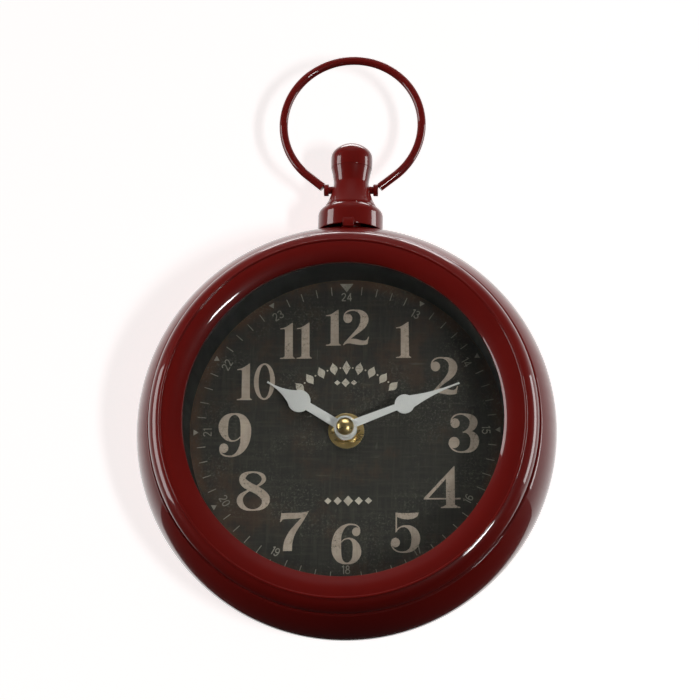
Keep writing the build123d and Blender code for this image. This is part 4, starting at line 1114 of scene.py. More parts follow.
PLAIN_DIGITS = {
    "1": (0.34, [("path", [(0.04, 0.80), (0.25, 0.94), (0.25, 0.0)])]),
    "2": (0.60, [("curve", [(0.06, 0.74), (0.13, 0.89), (0.30, 0.945), (0.47, 0.88), (0.52, 0.72),
            (0.44, 0.52), (0.24, 0.28), (0.07, 0.07)]),
        ("path", [(0.05, 0.06), (0.56, 0.06)])]),
    "3": (0.60, [("curve", [(0.08, 0.80), (0.17, 0.91), (0.31, 0.945), (0.46, 0.87), (0.49, 0.72),
            (0.40, 0.58), (0.24, 0.53)]),
        ("curve", [(0.24, 0.53), (0.43, 0.49), (0.54, 0.34), (0.51, 0.16), (0.37, 0.06),
            (0.21, 0.065), (0.08, 0.16), (0.05, 0.25)])]),
    "4": (0.64, [("path", [(0.45, 0.0), (0.45, 0.94), (0.05, 0.28), (0.62, 0.28)])]),
    "5": (0.60, [("path", [(0.52, 0.94), (0.15, 0.94), (0.10, 0.52)]),
        ("curve", [(0.10, 0.52), (0.25, 0.60), (0.42, 0.57), (0.54, 0.41), (0.53, 0.22),
            (0.40, 0.08), (0.24, 0.06), (0.10, 0.14), (0.05, 0.25)])]),
    "6": (0.60, [("curve", [(0.51, 0.80), (0.42, 0.92), (0.28, 0.93), (0.14, 0.80), (0.07, 0.56),
            (0.08, 0.28), (0.18, 0.10), (0.32, 0.06), (0.48, 0.14), (0.54, 0.31), (0.48, 0.48),
            (0.33, 0.56), (0.18, 0.50), (0.09, 0.38)])]),
    "7": (0.58, [("path", [(0.04, 0.94), (0.55, 0.94), (0.22, 0.0)])]),
    "8": (0.60, [("loop", [(0.30, 0.94), (0.45, 0.86), (0.46, 0.67), (0.30, 0.545), (0.14, 0.67),
            (0.15, 0.86)]),
        ("loop", [(0.30, 0.53), (0.51, 0.42), (0.53, 0.18), (0.30, 0.06), (0.07, 0.18),
            (0.09, 0.42)])]),
    "0": (0.60, [("loop", [(0.30, 0.94), (0.48, 0.82), (0.54, 0.5), (0.48, 0.18), (0.30, 0.06),
            (0.12, 0.18), (0.06, 0.5), (0.12, 0.82)])]),
}
PLAIN_DIGITS["9"] = (0.60, [("turned", PLAIN_DIGITS["6"][1], 0.30, 0.5)])
GLYPH_NARROWING = 0.935     # share of the drawn width that a numeral is printed at


def smooth_path(points, closed=False, parts=7):
    """Catmull-Rom line through points of any number of coordinates."""
    count = len(points)
    stretches = range(count if closed else count - 1)
    line = []
    for index in stretches:
        if closed:
            p0, p1, p2, p3 = (points[(index + k) % count] for k in (-1, 0, 1, 2))
        else:
            p0, p1, p2, p3 = (points[min(max(index + k, 0), count - 1)] for k in (-1, 0, 1, 2))
        for part in range(parts):
            t = part / parts
            line.append(tuple(
                0.5 * (2 * b + (c - a) * t + (2 * a - 5 * b + 4 * c - d) * t * t
                       + (3 * b - a - 3 * c + d) * t ** 3)
                for a, b, c, d in zip(p0, p1, p2, p3)
            ))
    line.append(tuple(points[0] if closed else points[-1]))
    return line


def brush(line):
    """Four-cornered pieces that cover a line of (x, y, width)."""
    sides = []
    count = len(line)
    for index, (x, y, width) in enumerate(line):
        before, after = line[max(index - 1, 0)], line[min(index + 1, count - 1)]
        along = Vector((after[0] - before[0], after[1] - before[1]))
        along.normalize()
        sides.append((
            (x - along.y * width / 2, y + along.x * width / 2),
            (x + along.y * width / 2, y - along.x * width / 2),
        ))
    return [[a[0], a[1], b[1], b[0]] for a, b in zip(sides, sides[1:])]


def disc(x, y, radius, steps=28):
    return arc((x, y), radius, 0.0, 2 * pi * (steps - 1) / steps, steps - 1)


def glyph_polygons(strokes, stroke_width):
    """Simple polygons that together cover a numeral drawn in a square of height 1."""
    polygons = []
    for kind, *what in strokes:
        if kind == "plate":
            polygons.append(list(what[0]))
        elif kind == "disc":
            polygons.append(disc(*what))
        elif kind == "stroke":
            polygons += brush(smooth_path(what[0]))
        elif kind == "ring":
            x, y, wide, high, hole_wide, hole_high = what
            turns = [2 * pi * step / 56 for step in range(57)]
            polygons += [
                [(x + w * cos(t), y + h * sin(t)) for w, h, t in (
                    (wide, high, a), (wide, high, b),
                    (hole_wide, hole_high, b), (hole_wide, hole_high, a))]
                for a, b in zip(turns, turns[1:])
            ]
        elif kind == "turned":
            polygons += [
                [(2 * what[1] - a, 2 * what[2] - b) for a, b in polygon]
                for polygon in glyph_polygons(what[0], stroke_width)
            ]
        else:
            points = [(a, b, stroke_width) for a, b in what[0]]
            if kind == "path":
                for first, second in zip(points, points[1:]):
                    polygons += brush([first, second])
                polygons += [disc(a, b, stroke_width / 2, 10) for a, b, w in points[1:-1]]
            else:
                polygons += brush(smooth_path(points, closed=kind == "loop", parts=4))
    return polygons


def numeral_loops(text, digits, height, gap, stroke_width=0.1):
    """Outlines of a whole number, centred on the origin, in millimetres."""
    total = sum(digits[c][0] for c in text) + gap * (len(text) - 1)
    start = -total / 2
    loops = []
    for character in text:
        width, strokes = digits[character]
        for loop in union_loops(glyph_polygons(strokes, stroke_width)):
            loops.append(
                [((start + a) * height * GLYPH_NARROWING, (b - 0.5) * height) for a, b in loop]
            )
        start += width + gap
    return loops


def placed(loops, across, up, angle=0.0):
    """Outlines turned anticlockwise by an angle and moved to a place."""
    c, s = cos(angle), sin(angle)
    return [[(across + a * c - b * s, up + a * s + b * c) for a, b in loop] for loop in loops]


# number, middle across and up from the dial's axis, height, in millimetres
HOUR_NUMERALS = [
    (
        "12", 0.4, 51.3, 18.0,
    ), ("1", 27.5, 44.8, 18.0), ("2", 46.8, 26.6, 18.8), ("3", 55.8, -1.5, 19.2),
    ("4", 45.4, -27.6, 20.0), ("5", 28.0, -49.2, 19.2), ("6", 0.2, -54.4, 19.2), (
        "7", -24.3, -48.0, 19.2,
    ),
    (
        "8", -44.1, -28.7, 19.0,
    ), ("9", -53.4, -1.4, 21.4), ("10", -43.6, 24.8, 18.1), ("11", -24.5, 45.0, 18.0),
]


def track_ink(colours):
    values = (colours.track, colours.ground_pale, colours.ground, 0.7)
    return make_once("worn_track_ink", worn_ink, *values)


class PrintedPiece:
    """What the operators that print on the dial share."""

    def print_loops(self, context, name, groups, finish):
        dial = sizes(context, "dial")
        surface = -PRINT_LOW.y / MM
        sections = [(0.0, surface - dial.ink_height), (0.0, surface + dial.ink_height)]
        mesh = bmesh.new()
        for loops in groups:
            add_plate(mesh, placed(loops, 0.0, 0.0, dial.print_turn), sections, on_dial)
        return finished_piece(
            context, name, mesh, finish, body=BODY_OF["dial_print"], slot=SLOT_OF["dial_print"],
        )


class CLOCK_OT_print_hours(PrintedPiece, bpy.types.Operator):
    """Print the large flared numerals from 1 to 12"""

    bl_idname = "clock.print_hours"
    bl_label = "Hour Numerals"

    def execute(self, context):
        colours = context.scene.pocket_clock.colours
        values = (colours.numeral, colours.numeral_worn, colours.ground, 0.75)
        ink = make_once("worn_numeral_ink", worn_ink, *values)
        groups = []
        for text, across, up, height in HOUR_NUMERALS:
            loops = numeral_loops(text, FLARED_DIGITS, height, 0.05)
            groups.append(placed(loops, across, up))
        self.print_loops(context, "dial_hour_numerals", groups, ink)
        return {"FINISHED"}


class CLOCK_OT_print_day_hours(PrintedPiece, bpy.types.Operator):
    """Print the ring of small numerals from 13 to 24"""

    bl_idname = "clock.print_day_hours"
    bl_label = "Small Numerals"

    def execute(self, context):
        colours, dial = context.scene.pocket_clock.colours, sizes(context, "dial")
        ink = track_ink(colours)
        groups = []
        for hour in range(13, 25):
            clockwise = radians(30.0 * (hour - 12))
            lean = -clockwise
            if 16 <= hour <= 20:
                lean += pi
            loops = numeral_loops(str(hour), PLAIN_DIGITS, dial.day_height, 0.10, dial.day_stroke)
            groups.append(placed(
                loops, dial.day_radius * sin(clockwise), dial.day_radius * cos(clockwise), lean,
            ))
        self.print_loops(context, "dial_small_numerals", groups, ink)
        return {"FINISHED"}


class CLOCK_OT_print_track(PrintedPiece, bpy.types.Operator):
    """Print the minute ticks and the triangles at the hours"""

    bl_idname = "clock.print_track"
    bl_label = "Minute Track"

    def execute(self, context):
        colours, dial = context.scene.pocket_clock.colours, sizes(context, "dial")
        ink = track_ink(colours)
        groups = []
        top = dial.track_radius
        for minute in range(60):
            if minute % 5:
                half, low = dial.tick_width / 2, top - dial.tick_length
                shape = [(-half, low), (half, low), (half, top), (-half, top)]
            else:
                wide, high = dial.noon_width, dial.noon_height
                if minute:
                    wide, high = dial.marker_width, dial.marker_height
                edge = dial.marker_radius
                shape = [(0.0, edge - high), (wide / 2, edge), (-wide / 2, edge)]
            groups.append(placed([shape], 0.0, 0.0, -radians(6.0 * minute)))
        self.print_loops(context, "dial_minute_track", groups, ink)
        return {"FINISHED"}


# middle across, height above the dial's axis, and each lozenge's (across, width, height)
THREE_DIAMONDS = (-0.4, 23.8, [(-4.0, 3.0, 2.6), (0.0, 3.9, 4.3), (4.0, 3.0, 2.6)])
LOZENGE_BAR = (1.0, -33.8, [
    (-9.6, 3.4, 3.2), (-5.0, 3.8, 3.9), (0.0, 4.6, 5.0), (5.0, 3.8, 3.9), (9.6, 3.4, 3.2),
])


class CLOCK_OT_print_ornaments(PrintedPiece, bpy.types.Operator):
    """Print the arched ornament, the three-diamond dash and the lozenge bar"""

    bl_idname = "clock.print_ornaments"
    bl_label = "Ornaments"

    def execute(self, context):
        colours, dial = context.scene.pocket_clock.colours, sizes(context, "dial")
        values = (colours.ornament, colours.numeral_worn, colours.ground, 0.8)
        ink = make_once("worn_ornament_ink", worn_ink, *values)
        groups = []
        pairs = 4
        half_span = dial.arch_span / 2
        groups.append(placed([self.lozenge(4.0, 7.0)], 0.0, dial.arch_radius))
        for side in (-1, 1):
            for step in range(1, pairs + 1):
                angle = side * half_span * (step - 0.02) / (pairs + 0.25)
                leaf = self.leaf(6.4, 3.7)
                middle = (dial.arch_radius * sin(angle), dial.arch_radius * cos(angle))
                groups.append(placed([leaf], *middle, pi / 2 - angle))
                dot_angle = angle - side * half_span * 0.5 / (pairs + 0.25)
                dot = disc(0.0, 0.0, 0.42, 14)
                middle = (dial.arch_radius * sin(dot_angle), dial.arch_radius * cos(dot_angle))
                groups.append(placed([dot], *middle))
        for row in (THREE_DIAMONDS, LOZENGE_BAR):
            middle, up, shapes = row
            for across, wide, high in shapes:
                groups.append(placed([self.lozenge(wide, high)], across + middle, up))
        self.print_loops(context, "dial_ornaments", groups, ink)
        return {"FINISHED"}

    @staticmethod
    def lozenge(wide, high):
        return [(-wide / 2, 0.0), (0.0, -high / 2), (wide / 2, 0.0), (0.0, high / 2)]

    @staticmethod
    def leaf(long, high):
        """Pointed oval with its points to the sides."""
        steps = [step / 12 for step in range(13)]
        lower = [((t - 0.5) * long, -high / 2 * sin(pi * t) ** 1.5) for t in steps]
        return lower[:-1] + [(-a, -b) for a, b in lower[:-1]]


class CLOCK_OT_make_dial(bpy.types.Operator):
    """Finish the dial's board and printed sheet, and the screws that hold them"""

    bl_idname = "clock.make_dial"
    bl_label = "Dial"

    def execute(self, context):
        colours = context.scene.pocket_clock.colours
        give_finish(["dial_print"], make_once("worn_dial_ground", worn_ground, colours))
        main, shade = (0.22, 0.13, 0.07), (0.15, 0.085, 0.045)
        board = make_once("pressed_board", satin_paint, main, shade, 0.72, 1500.0, 0.00006)
        give_finish(["dial_board"], board)
        give_finish(["dial_screws"], steel_finish(context))
        return {"FINISHED"}


# ---- hands and their fixings
def hand_loops(hands, length_, spade_at, spade, root, end, bore):
    """Outlines of a spade hand that points up from the origin."""
    leave = radians(42.0)
    shoulder = (spade * sin(leave), spade_at + spade * cos(leave))
    half_tip = hands.tip_width / 2
    waist = (
        half_tip + (shoulder[0] - half_tip) * 0.26,
        shoulder[1] + (length_ - shoulder[1]) * 0.42,
    )
    right = arc_through(shoulder, waist, (half_tip, length_), 26)
    left = [(-a, b) for a, b in right[::-1]]
    nose = arc((0.0, length_ - half_tip * 0.2), half_tip, 0.1, pi - 0.1, 6)
    outline = union_loops([
        disc(0.0, 0.0, hands.hub_radius, 72),
        [(-root / 2, 0.0), (root / 2, 0.0), (end / 2, spade_at), (-end / 2, spade_at)],
        disc(0.0, spade_at, spade, 72),
        right[:-1] + [point for point in nose if point[1] <= length_] + left[1:],
    ])
    hole = disc(0.0, 0.0, bore, 32)[::-1]
    return outline + [hole]


class CLOCK_OT_make_hands(bpy.types.Operator):
    """Press the two spade hands"""

    bl_idname = "clock.make_hands"
    bl_label = "Hands"

    def execute(self, context):
        hands = sizes(context, "hands")
        colours = context.scene.pocket_clock.colours
        shade = tuple(value * 0.90 for value in colours.hand)
        paint = make_once(
            "hand_off_white", satin_paint, colours.hand, shade, 0.34, 1300.0, 0.000004,
        )
        for node, name, loops, angle, front in (
            ("hour_hand", "hour_spade_hand", hand_loops(
                hands, hands.hour_length, hands.hour_spade_at, hands.hour_spade,
                hands.hour_root, hands.hour_end, hands.hour_bore,
            ), hands.hour_angle, -HOUR_LOW.y / MM),
            ("minute_hand", "minute_spade_hand", hand_loops(
                hands, hands.minute_length, hands.minute_spade_at, hands.minute_spade,
                hands.minute_root, hands.minute_end, hands.minute_bore,
            ), hands.minute_angle, -MINUTE_LOW.y / MM),
        ):
            rear = -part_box(node)[1].y / MM
            top = rear + hands.plate
            edge = hands.edge
            sections = [(edge * 0.5, rear), (0.0, rear + edge * 0.5), (0.0, top - edge),
                        (edge * 0.35, top - edge * 0.35), (edge, top)]
            mesh = bmesh.new()
            add_plate(mesh, placed(loops, 0.0, 0.0, -angle), sections, on_dial)
            if front > top + 0.1:
                collet = rounded([
                    (hands.hour_bore, top, 0.0), (hands.collet_radius, top, 0.0),
                    (hands.collet_radius, front, 0.12), (hands.hour_bore, front, 0.08),
                ])
                add_turned(mesh, collet, round_dial, 64)
            finished_piece(context, name, mesh, paint, (node,), crease=50.0)
        return {"FINISHED"}


class CLOCK_OT_make_hand_fixings(bpy.types.Operator):
    """Turn the brass washer, nut and cap nut on the dial's axis"""

    bl_idname = "clock.make_hand_fixings"
    bl_label = "Hand Fixings"

    def execute(self, context):
        hands = sizes(context, "hands")
        brass = brass_finish(context)
        radius = CAP_HIGH.x / MM
        base = -CAP_HIGH.y / MM
        level = base + hands.cap_side
        cap = [(hands.minute_bore, base), *rounded([
            (hands.minute_bore, base, 0.0), (radius, base, 0.25), (radius, level, 0.0),
        ])[1:]]
        cap += dome(radius, hands.cap_dome, hands.cap_shoulder, level)[1:]
        cap += [(0.0, level + hands.cap_dome), (0.0, level + hands.cap_dome / 4)]
        cap += [(hands.minute_bore, level + hands.cap_dome / 4)]
        mesh = bmesh.new()
        add_turned(mesh, cap, round_dial, 96)
        finished_piece(context, "brass_cap_nut", mesh, brass, ("cap_nut",))
        washer_radius = WASHER_HIGH.x / MM
        low, high = -WASHER_HIGH.y / MM, -WASHER_LOW.y / MM
        ring = rounded([
            (WASHER_BORE, low, 0.0), (washer_radius, low, 0.12),
            (washer_radius, high, 0.22), (WASHER_BORE, high, 0.0),
        ])
        mesh = bmesh.new()
        add_turned(mesh, ring, round_dial, 96)
        finished_piece(context, "brass_dial_washer", mesh, brass, ("brass_washer",))
        give_finish(["hex_nut", "centre_bush", "minute_arbor"], brass)
        return {"FINISHED"}


# ---- stem, knob and bow
class CLOCK_OT_make_stem(bpy.types.Operator):
    """Turn the bell, the neck and the domed knob, and cut the neck's cross bore"""

    bl_idname = "clock.make_stem"
    bl_label = "Stem and Knob"

    def execute(self, context):
        stem = sizes(context, "stem")
        enamel = enamel_finish(context)
        self.make_bell(context, stem, enamel)
        self.make_neck(context, stem, enamel)
        self.make_knob(context, stem, enamel)
        give_finish(["stem_bolt", "stem_saddles"], steel_finish(context))
        return {"FINISHED"}

    def make_bell(self, context, stem, enamel):
        low = BASE_HIGH.z / MM - BELL_HEIGHT
        high = BASE_HIGH.z / MM
        rise, reach = high - low - stem.base_side, stem.base_radius - stem.base_shoulder
        curve = (rise ** 2 + reach ** 2) / (2 * reach)
        last = asin(rise / curve)
        centre = (stem.base_radius - curve, low + stem.base_side)
        outer = arc(centre, curve, 0.0, last, 18)
        inner = arc(centre, curve - stem.base_wall, last, 0.0, 12)
        ceiling = inner[0][1]
        profile = soft_corners([
            (stem.base_radius, low), *outer, (stem.spigot_radius, high), (
                stem.spigot_radius, ceiling,
            ),
            *inner, (stem.base_radius - stem.base_wall, low),
        ], 0.35, 24.0)
        mesh = bmesh.new()
        add_turned(mesh, profile, round_stem, 128)
        tab_rear = STEM_OUT / MM + stem.base_radius - stem.base_wall / 2
        tab_front = -BASE_LOW.y / MM
        tab_low, tab_high = BASE_LOW.z / MM, low + TAB_OVERLAP
        half = stem.tab_width / 2
        outline = rounded([
            (-half, tab_low, 0.4), (half, tab_low, 0.4), (half, tab_high, 0.4), (
                -half, tab_high, 0.4,
            ),
        ])
        add_plate(mesh, [outline], [
            (0.0, tab_rear), (0.0, tab_front - 0.3), (0.1, tab_front - 0.1), (0.3, tab_front),
        ], on_dial)
        finished_piece(context, "stem_bell", mesh, enamel, ("stem_base",))

    def make_neck(self, context, stem, enamel):
        low = BASE_HIGH.z / MM
        high = KNOB_LOW.z / MM + KNOB_SPIGOT_LENGTH
        waist = low + stem.neck_waist_height
        side = arc_through(
            (stem.neck_foot, low + NECK_FOOT_SIDE), (stem.neck_cove, low + stem.neck_cove_height),
            (stem.neck_waist, waist), 22,
        )
        upper = arc_through(
            (stem.neck_waist, waist), (
                stem.neck_upper, (waist + high) / 2,
            ), (stem.neck_top, high), 14,
        )
        top = rounded([
            (*upper[-2], 0.0), (stem.neck_top, high, stem.crease), (stem.knob_spigot, high, 0.0),
        ])[1:-1]
        foot = rounded([
            (stem.spigot_radius, low, 0.0), (stem.neck_foot, low, 0.3),
            (stem.neck_foot, low + NECK_FOOT_SIDE, 0.0),
        ])[1:-1]
        foot_end = NECK_LOW.z / MM
        profile = [(0.0, foot_end), (stem.spigot_radius, foot_end), (stem.spigot_radius, low)]
        profile += foot + side + upper[1:-1] + top
        socket = high - KNOB_SPIGOT_LENGTH
        profile += [(stem.knob_spigot, high), (stem.knob_spigot, socket), (0.0, socket)]
        mesh = bmesh.new()
        add_turned(mesh, profile, round_stem, 128)
        neck = finished_piece(context, "stem_neck_turned", mesh, enamel, ("stem_neck",))
        drill = bmesh.new()
        bore, reach = stem.pin_radius + BORE_CLEARANCE, 2 * stem.neck_foot
        add_turned(
            drill, [(0.0, -reach), (bore, -reach), (bore, reach), (0.0, reach)], round_pin, 64,
        )
        bmesh.ops.recalc_face_normals(drill, faces=drill.faces[:])
        data = bpy.data.meshes.new("cross_drill")
        drill.to_mesh(data)
        drill.free()
        cutter = bpy.data.objects.new("cross_drill", data)
        context.scene.collection.objects.link(cutter)
        cut = neck.modifiers.new("Cross Bore", "BOOLEAN")
        cut.operation, cut.object, cut.solver = "DIFFERENCE", cutter, "EXACT"
        context.view_layer.update()
        bored = bpy.data.meshes.new_from_object(
            neck.evaluated_get(context.evaluated_depsgraph_get()),
        )
        neck.modifiers.clear()
        neck.data = bored
        bored.set_sharp_from_angle(angle=radians(32.0))
        bpy.data.objects.remove(cutter)

    def make_knob(self, context, stem, enamel):
        low = KNOB_LOW.z / MM
        seat = low + KNOB_SPIGOT_LENGTH
        level = seat + stem.knob_side
        side = arc_through(
            (stem.neck_top, seat), (
                stem.knob_radius, seat + stem.knob_side / 2,
            ), (stem.knob_radius, level), 12,
        )
        foot = rounded([
            (stem.knob_spigot, seat, 0.0), (stem.neck_top, seat, stem.crease), (*side[1], 0.0),
        ])[1:-1]
        profile = [(0.0, low), (stem.knob_spigot, low), (stem.knob_spigot, seat), *foot, *side[1:]]
        profile += dome(stem.knob_radius, stem.knob_dome, stem.knob_shoulder, level, steps=32)[1:]
        profile.append((0.0, profile[-1][1]))
        mesh = bmesh.new()
        add_turned(mesh, profile, round_stem, 128)
        finished_piece(context, "domed_knob", mesh, enamel, ("top_knob",))


class CLOCK_OT_make_bow(bpy.types.Operator):
    """Bend the bow from wire, with an eye on each leg, and turn its pin"""

    bl_idname = "clock.make_bow"
    bl_label = "Bow and Pin"

    def execute(self, context):
        stem = sizes(context, "stem")
        enamel = enamel_finish(context)
        half_pin = PIN_HIGH.x / MM
        eye_middle = half_pin - stem.eye_length / 2
        pin = PIN_HEIGHT / MM
        centre = pin + stem.bow_rise
        reach = hypot(eye_middle, stem.bow_rise)
        below = atan2(eye_middle, stem.bow_rise) + acos(stem.bow_radius / reach)
        touch = Vector((stem.bow_radius * sin(below), centre - stem.bow_radius * cos(below)))
        foot = Vector((eye_middle, pin))
        leg, whole = (touch - foot).normalized(), (touch - foot).length
        start = stem.pin_radius + LEG_CLEARANCE
        legs = [foot + leg * (start + whole * step / 10) for step in range(10)]
        legs = [point for point in legs if (point - foot).length < whole - 0.5]
        ring = [Vector(point) for point in arc(
            (0.0, centre), stem.bow_radius, -pi / 2 + below, 1.5 * pi - below, 160)]
        line = legs + ring + [Vector((-point.x, point.y)) for point in legs[::-1]]
        mesh = bmesh.new()
        self.add_wire(mesh, line, stem.wire_radius, 40)
        for side in (-1, 1):
            inner, outer = side * (half_pin - stem.eye_length), side * half_pin
            add_turned(mesh, rounded([
                (stem.pin_radius, inner, 0.1), (stem.eye_radius, inner, 0.35),
                (stem.eye_radius, outer, 0.35), (stem.pin_radius, outer, 0.1),
            ]), round_pin, 64)
        finished_piece(context, "bow_wire_ring", mesh, enamel, ("bow",), crease=40.0)
        mesh = bmesh.new()
        add_turned(mesh, rounded([
            (0.0, -half_pin, 0.0), (stem.pin_radius, -half_pin, 0.4),
            (stem.pin_radius, half_pin, 0.4), (0.0, half_pin, 0.0),
        ]), round_pin, 64)
        finished_piece(context, "bow_cross_pin", mesh, enamel, ("bow_pin",))
        return {"FINISHED"}

    @staticmethod
    def add_wire(mesh, line, radius, sides):
        """Adds a closed wire along a line of (across, up) points in the stem's plane."""
        rings = []
        for index, point in enumerate(line):
            before, after = line[max(index - 1, 0)], line[min(index + 1, len(line) - 1)]
            along = (after - before).normalized()
            side = Vector((along.y, -along.x))
            ring = []
            for step in range(sides):
                angle = 2 * pi * step / sides
                spot = point + side * radius * cos(angle)
                ring.append(
                    mesh.verts.new(on_dial(spot.x, spot.y, STEM_OUT / MM + radius * sin(angle))),
                )
            rings.append(ring)
        for first, second in zip(rings, rings[1:]):
            for step in range(sides):
                other = (step + 1) % sides
                mesh.faces.new((first[step], first[other], second[other], second[step]))
        mesh.faces.new(rings[0])
        mesh.faces.new(rings[-1])


# ---- back and movement
class CLOCK_OT_make_back(bpy.types.Operator):
    """Finish the back cover, its ledge, its screws and the rubber wall bumpers"""

    bl_idname = "clock.make_back"
    bl_label = "Back"

    def execute(self, context):
        steel = steel_finish(context)
        give_finish(["back_cover"], black_finish(context))
        give_finish(["back_ledge"], steel)
        main, shade = (0.10, 0.10, 0.10), (0.13, 0.13, 0.125)
        bumper = make_once("bumper_rubber", satin_paint, main, shade, 0.66, 800.0, 0.00004)
        give_finish(["wall_bumpers"], bumper)
        self.make_screws(context, steel)
        return {"FINISHED"}

    def make_screws(self, context, steel):
        """Pan-head screws with a cross recess, whose heads face the wall."""
        head_out, end_out = -SCREWS_HIGH.y / MM, -SCREWS_LOW.y / MM
        long, short = CROSS_REACH, CROSS_HALF_WIDTH
        recess = union_loops([
            [(-long, -short), (long, -short), (long, short), (-long, short)],
            [(-short, -long), (short, -long), (short, long), (-short, long)],
        ])[0][::-1]
        head, shank = (disc(0.0, 0.0, radius, SCREW_SIDES) for radius in (SCREW_HEAD, SCREW_SHANK))
        walls = [(drawn_in(head, inset), out) for inset, out in (
            (0.7, head_out), (0.35, head_out + 0.12), (0.1, head_out + 0.35),
            (0.0, head_out + 0.7), (0.0, COVER_OUT),
        )]
        walls += [(shank, COVER_OUT), (shank, end_out)]
        mesh = bmesh.new()
        for step in range(SCREW_COUNT):
            angle = radians(30.0) + 2 * pi * step / SCREW_COUNT
            across, up = SCREW_CIRCLE * cos(angle), SCREW_CIRCLE * sin(angle)

            def ring(loop, out):
                return [mesh.verts.new(on_dial(across + a, up + b, out)) for a, b in loop]

            rings = [ring(loop, out) for loop, out in walls]
            for lower, upper in zip(rings, rings[1:]):
                self.join(mesh, lower, upper)
            mesh.faces.new(rings[-1])
            rim = ring(recess, head_out)
            top = rings[0] + rim
            for triangle in filled([walls[0][0], recess]):
                mesh.faces.new([top[i] for i in triangle])
            pit = ring(recess, head_out + CROSS_DEPTH)
            self.join(mesh, rim, pit)
            for triangle in filled([recess]):
                mesh.faces.new([pit[i] for i in triangle])
        finished_piece(context, "pan_head_screws", mesh, steel, ("cover_screws",))

    @staticmethod
    def join(mesh, lower, upper):
        """Wall of four-cornered faces between two rings of vertices."""
        for i in range(len(lower)):
            j = (i + 1) % len(lower)
            mesh.faces.new((lower[i], lower[j], upper[j], upper[i]))


class CLOCK_OT_finish_movement(bpy.types.Operator):
    """Finish the battery movement: shells, wheels, motor, board and cell"""

    bl_idname = "clock.finish_movement"
    bl_label = "Movement"

    # finish, main colour or its name among the user's colours, shade, roughness,
    # ripple's scale and height, nodes
    MOULDED = [
        ("moulded_black", "plastic", (0.03, 0.03, 0.032), 0.5, 2200.0, 0.00003,
         ["movement_front_shell", "movement_rear_shell", "setting_knob", "coil_bobbin"]),
        ("natural_acetal", "wheel", (0.62, 0.60, 0.52), 0.4, 1500.0, 0.00001,
         ["centre_wheel", "hour_wheel", "motion_wheel", "third_wheel", "second_wheel",
          "intermediate_wheel", "rotor"]),
        ("board_laminate", (0.28, 0.18, 0.06), (0.22, 0.14, 0.05), 0.5, 1800.0, 0.00002,
         ["circuit_board"]),
        ("black_resin", (0.01, 0.01, 0.01), (0.016, 0.016, 0.016), 0.18, 500.0, 0.00002,
         ["driver_chip"]),
        ("cell_sleeve", "sleeve", (0.016, 0.055, 0.05), 0.26, 300.0, 0.00001, ["battery"]),
    ]
    # the same, with the height of the turning lines in place of the ripple
    METAL = [
        ("nickel_magnet", (0.30, 0.30, 0.31), (0.22, 0.22, 0.23), 0.3, 0.000003, ["rotor_magnet"]),
        ("stator_iron", (0.42, 0.41, 0.39), (0.33, 0.31, 0.29), 0.38, 0.000006, ["stator"]),
        ("copper_winding", "copper", (0.5, 0.19, 0.08), 0.3, 0.00002, ["coil_winding"]),
    ]

    def execute(self, context):
        colours = context.scene.pocket_clock.colours
        for maker, table in ((satin_paint, self.MOULDED), (bare_metal, self.METAL)):
            for name, main, *values, nodes in table:
                if isinstance(main, str):
                    main = getattr(colours, main)
                give_finish(nodes, make_once(name, maker, main, *values))
        give_finish(
            ["clutch_spring", "battery_contact_pos", "battery_contact_neg", "quartz_can"],
            steel_finish(context),
        )
        return {"FINISHED"}


# ---- stage
LIGHTS_AIM = Vector((0.0, -0.03, 0.02))
REAR_RADIANCE = 2.4
WALL_GAP = 0.001    # the wall stands this far behind the clock's back
CLEAR_WHITE = (1.0, 1.0, 1.0, 1.0)


def softbox(context, name, place, wide, high, radiance, kept_off):
    """Rectangular light that faces the clock; the objects in kept_off aren't lit by it."""
    lamp = bpy.data.lights.new(name, "AREA")
    lamp.shape, lamp.size, lamp.size_y = "RECTANGLE", wide, high
    lamp.energy = radiance * pi * wide * high
    light = bpy.data.objects.new(name, lamp)
    light.location = place
    aim = LIGHTS_AIM - Vector(place)
    light.rotation_euler = aim.to_track_quat("-Z", "Y").to_euler()
    light.visible_camera = False
    context.scene.collection.objects.link(light)
    reach = bpy.data.collections.new(name + "_reach")
    for thing in kept_off:
        reach.objects.link(thing)
    light.light_linking.receiver_collection = reach
    for entry in reach.collection_objects:
        entry.light_linking.link_state = "EXCLUDE"
    return light


def stage_sheet(context, name, corners, material):
    data = bpy.data.meshes.new(name)
    data.from_pydata([Vector(corner) for corner in corners], [], [(0, 1, 2, 3)])
    data.materials.append(material)
    sheet = bpy.data.objects.new(name, data)
    context.scene.collection.objects.link(sheet)
    return sheet


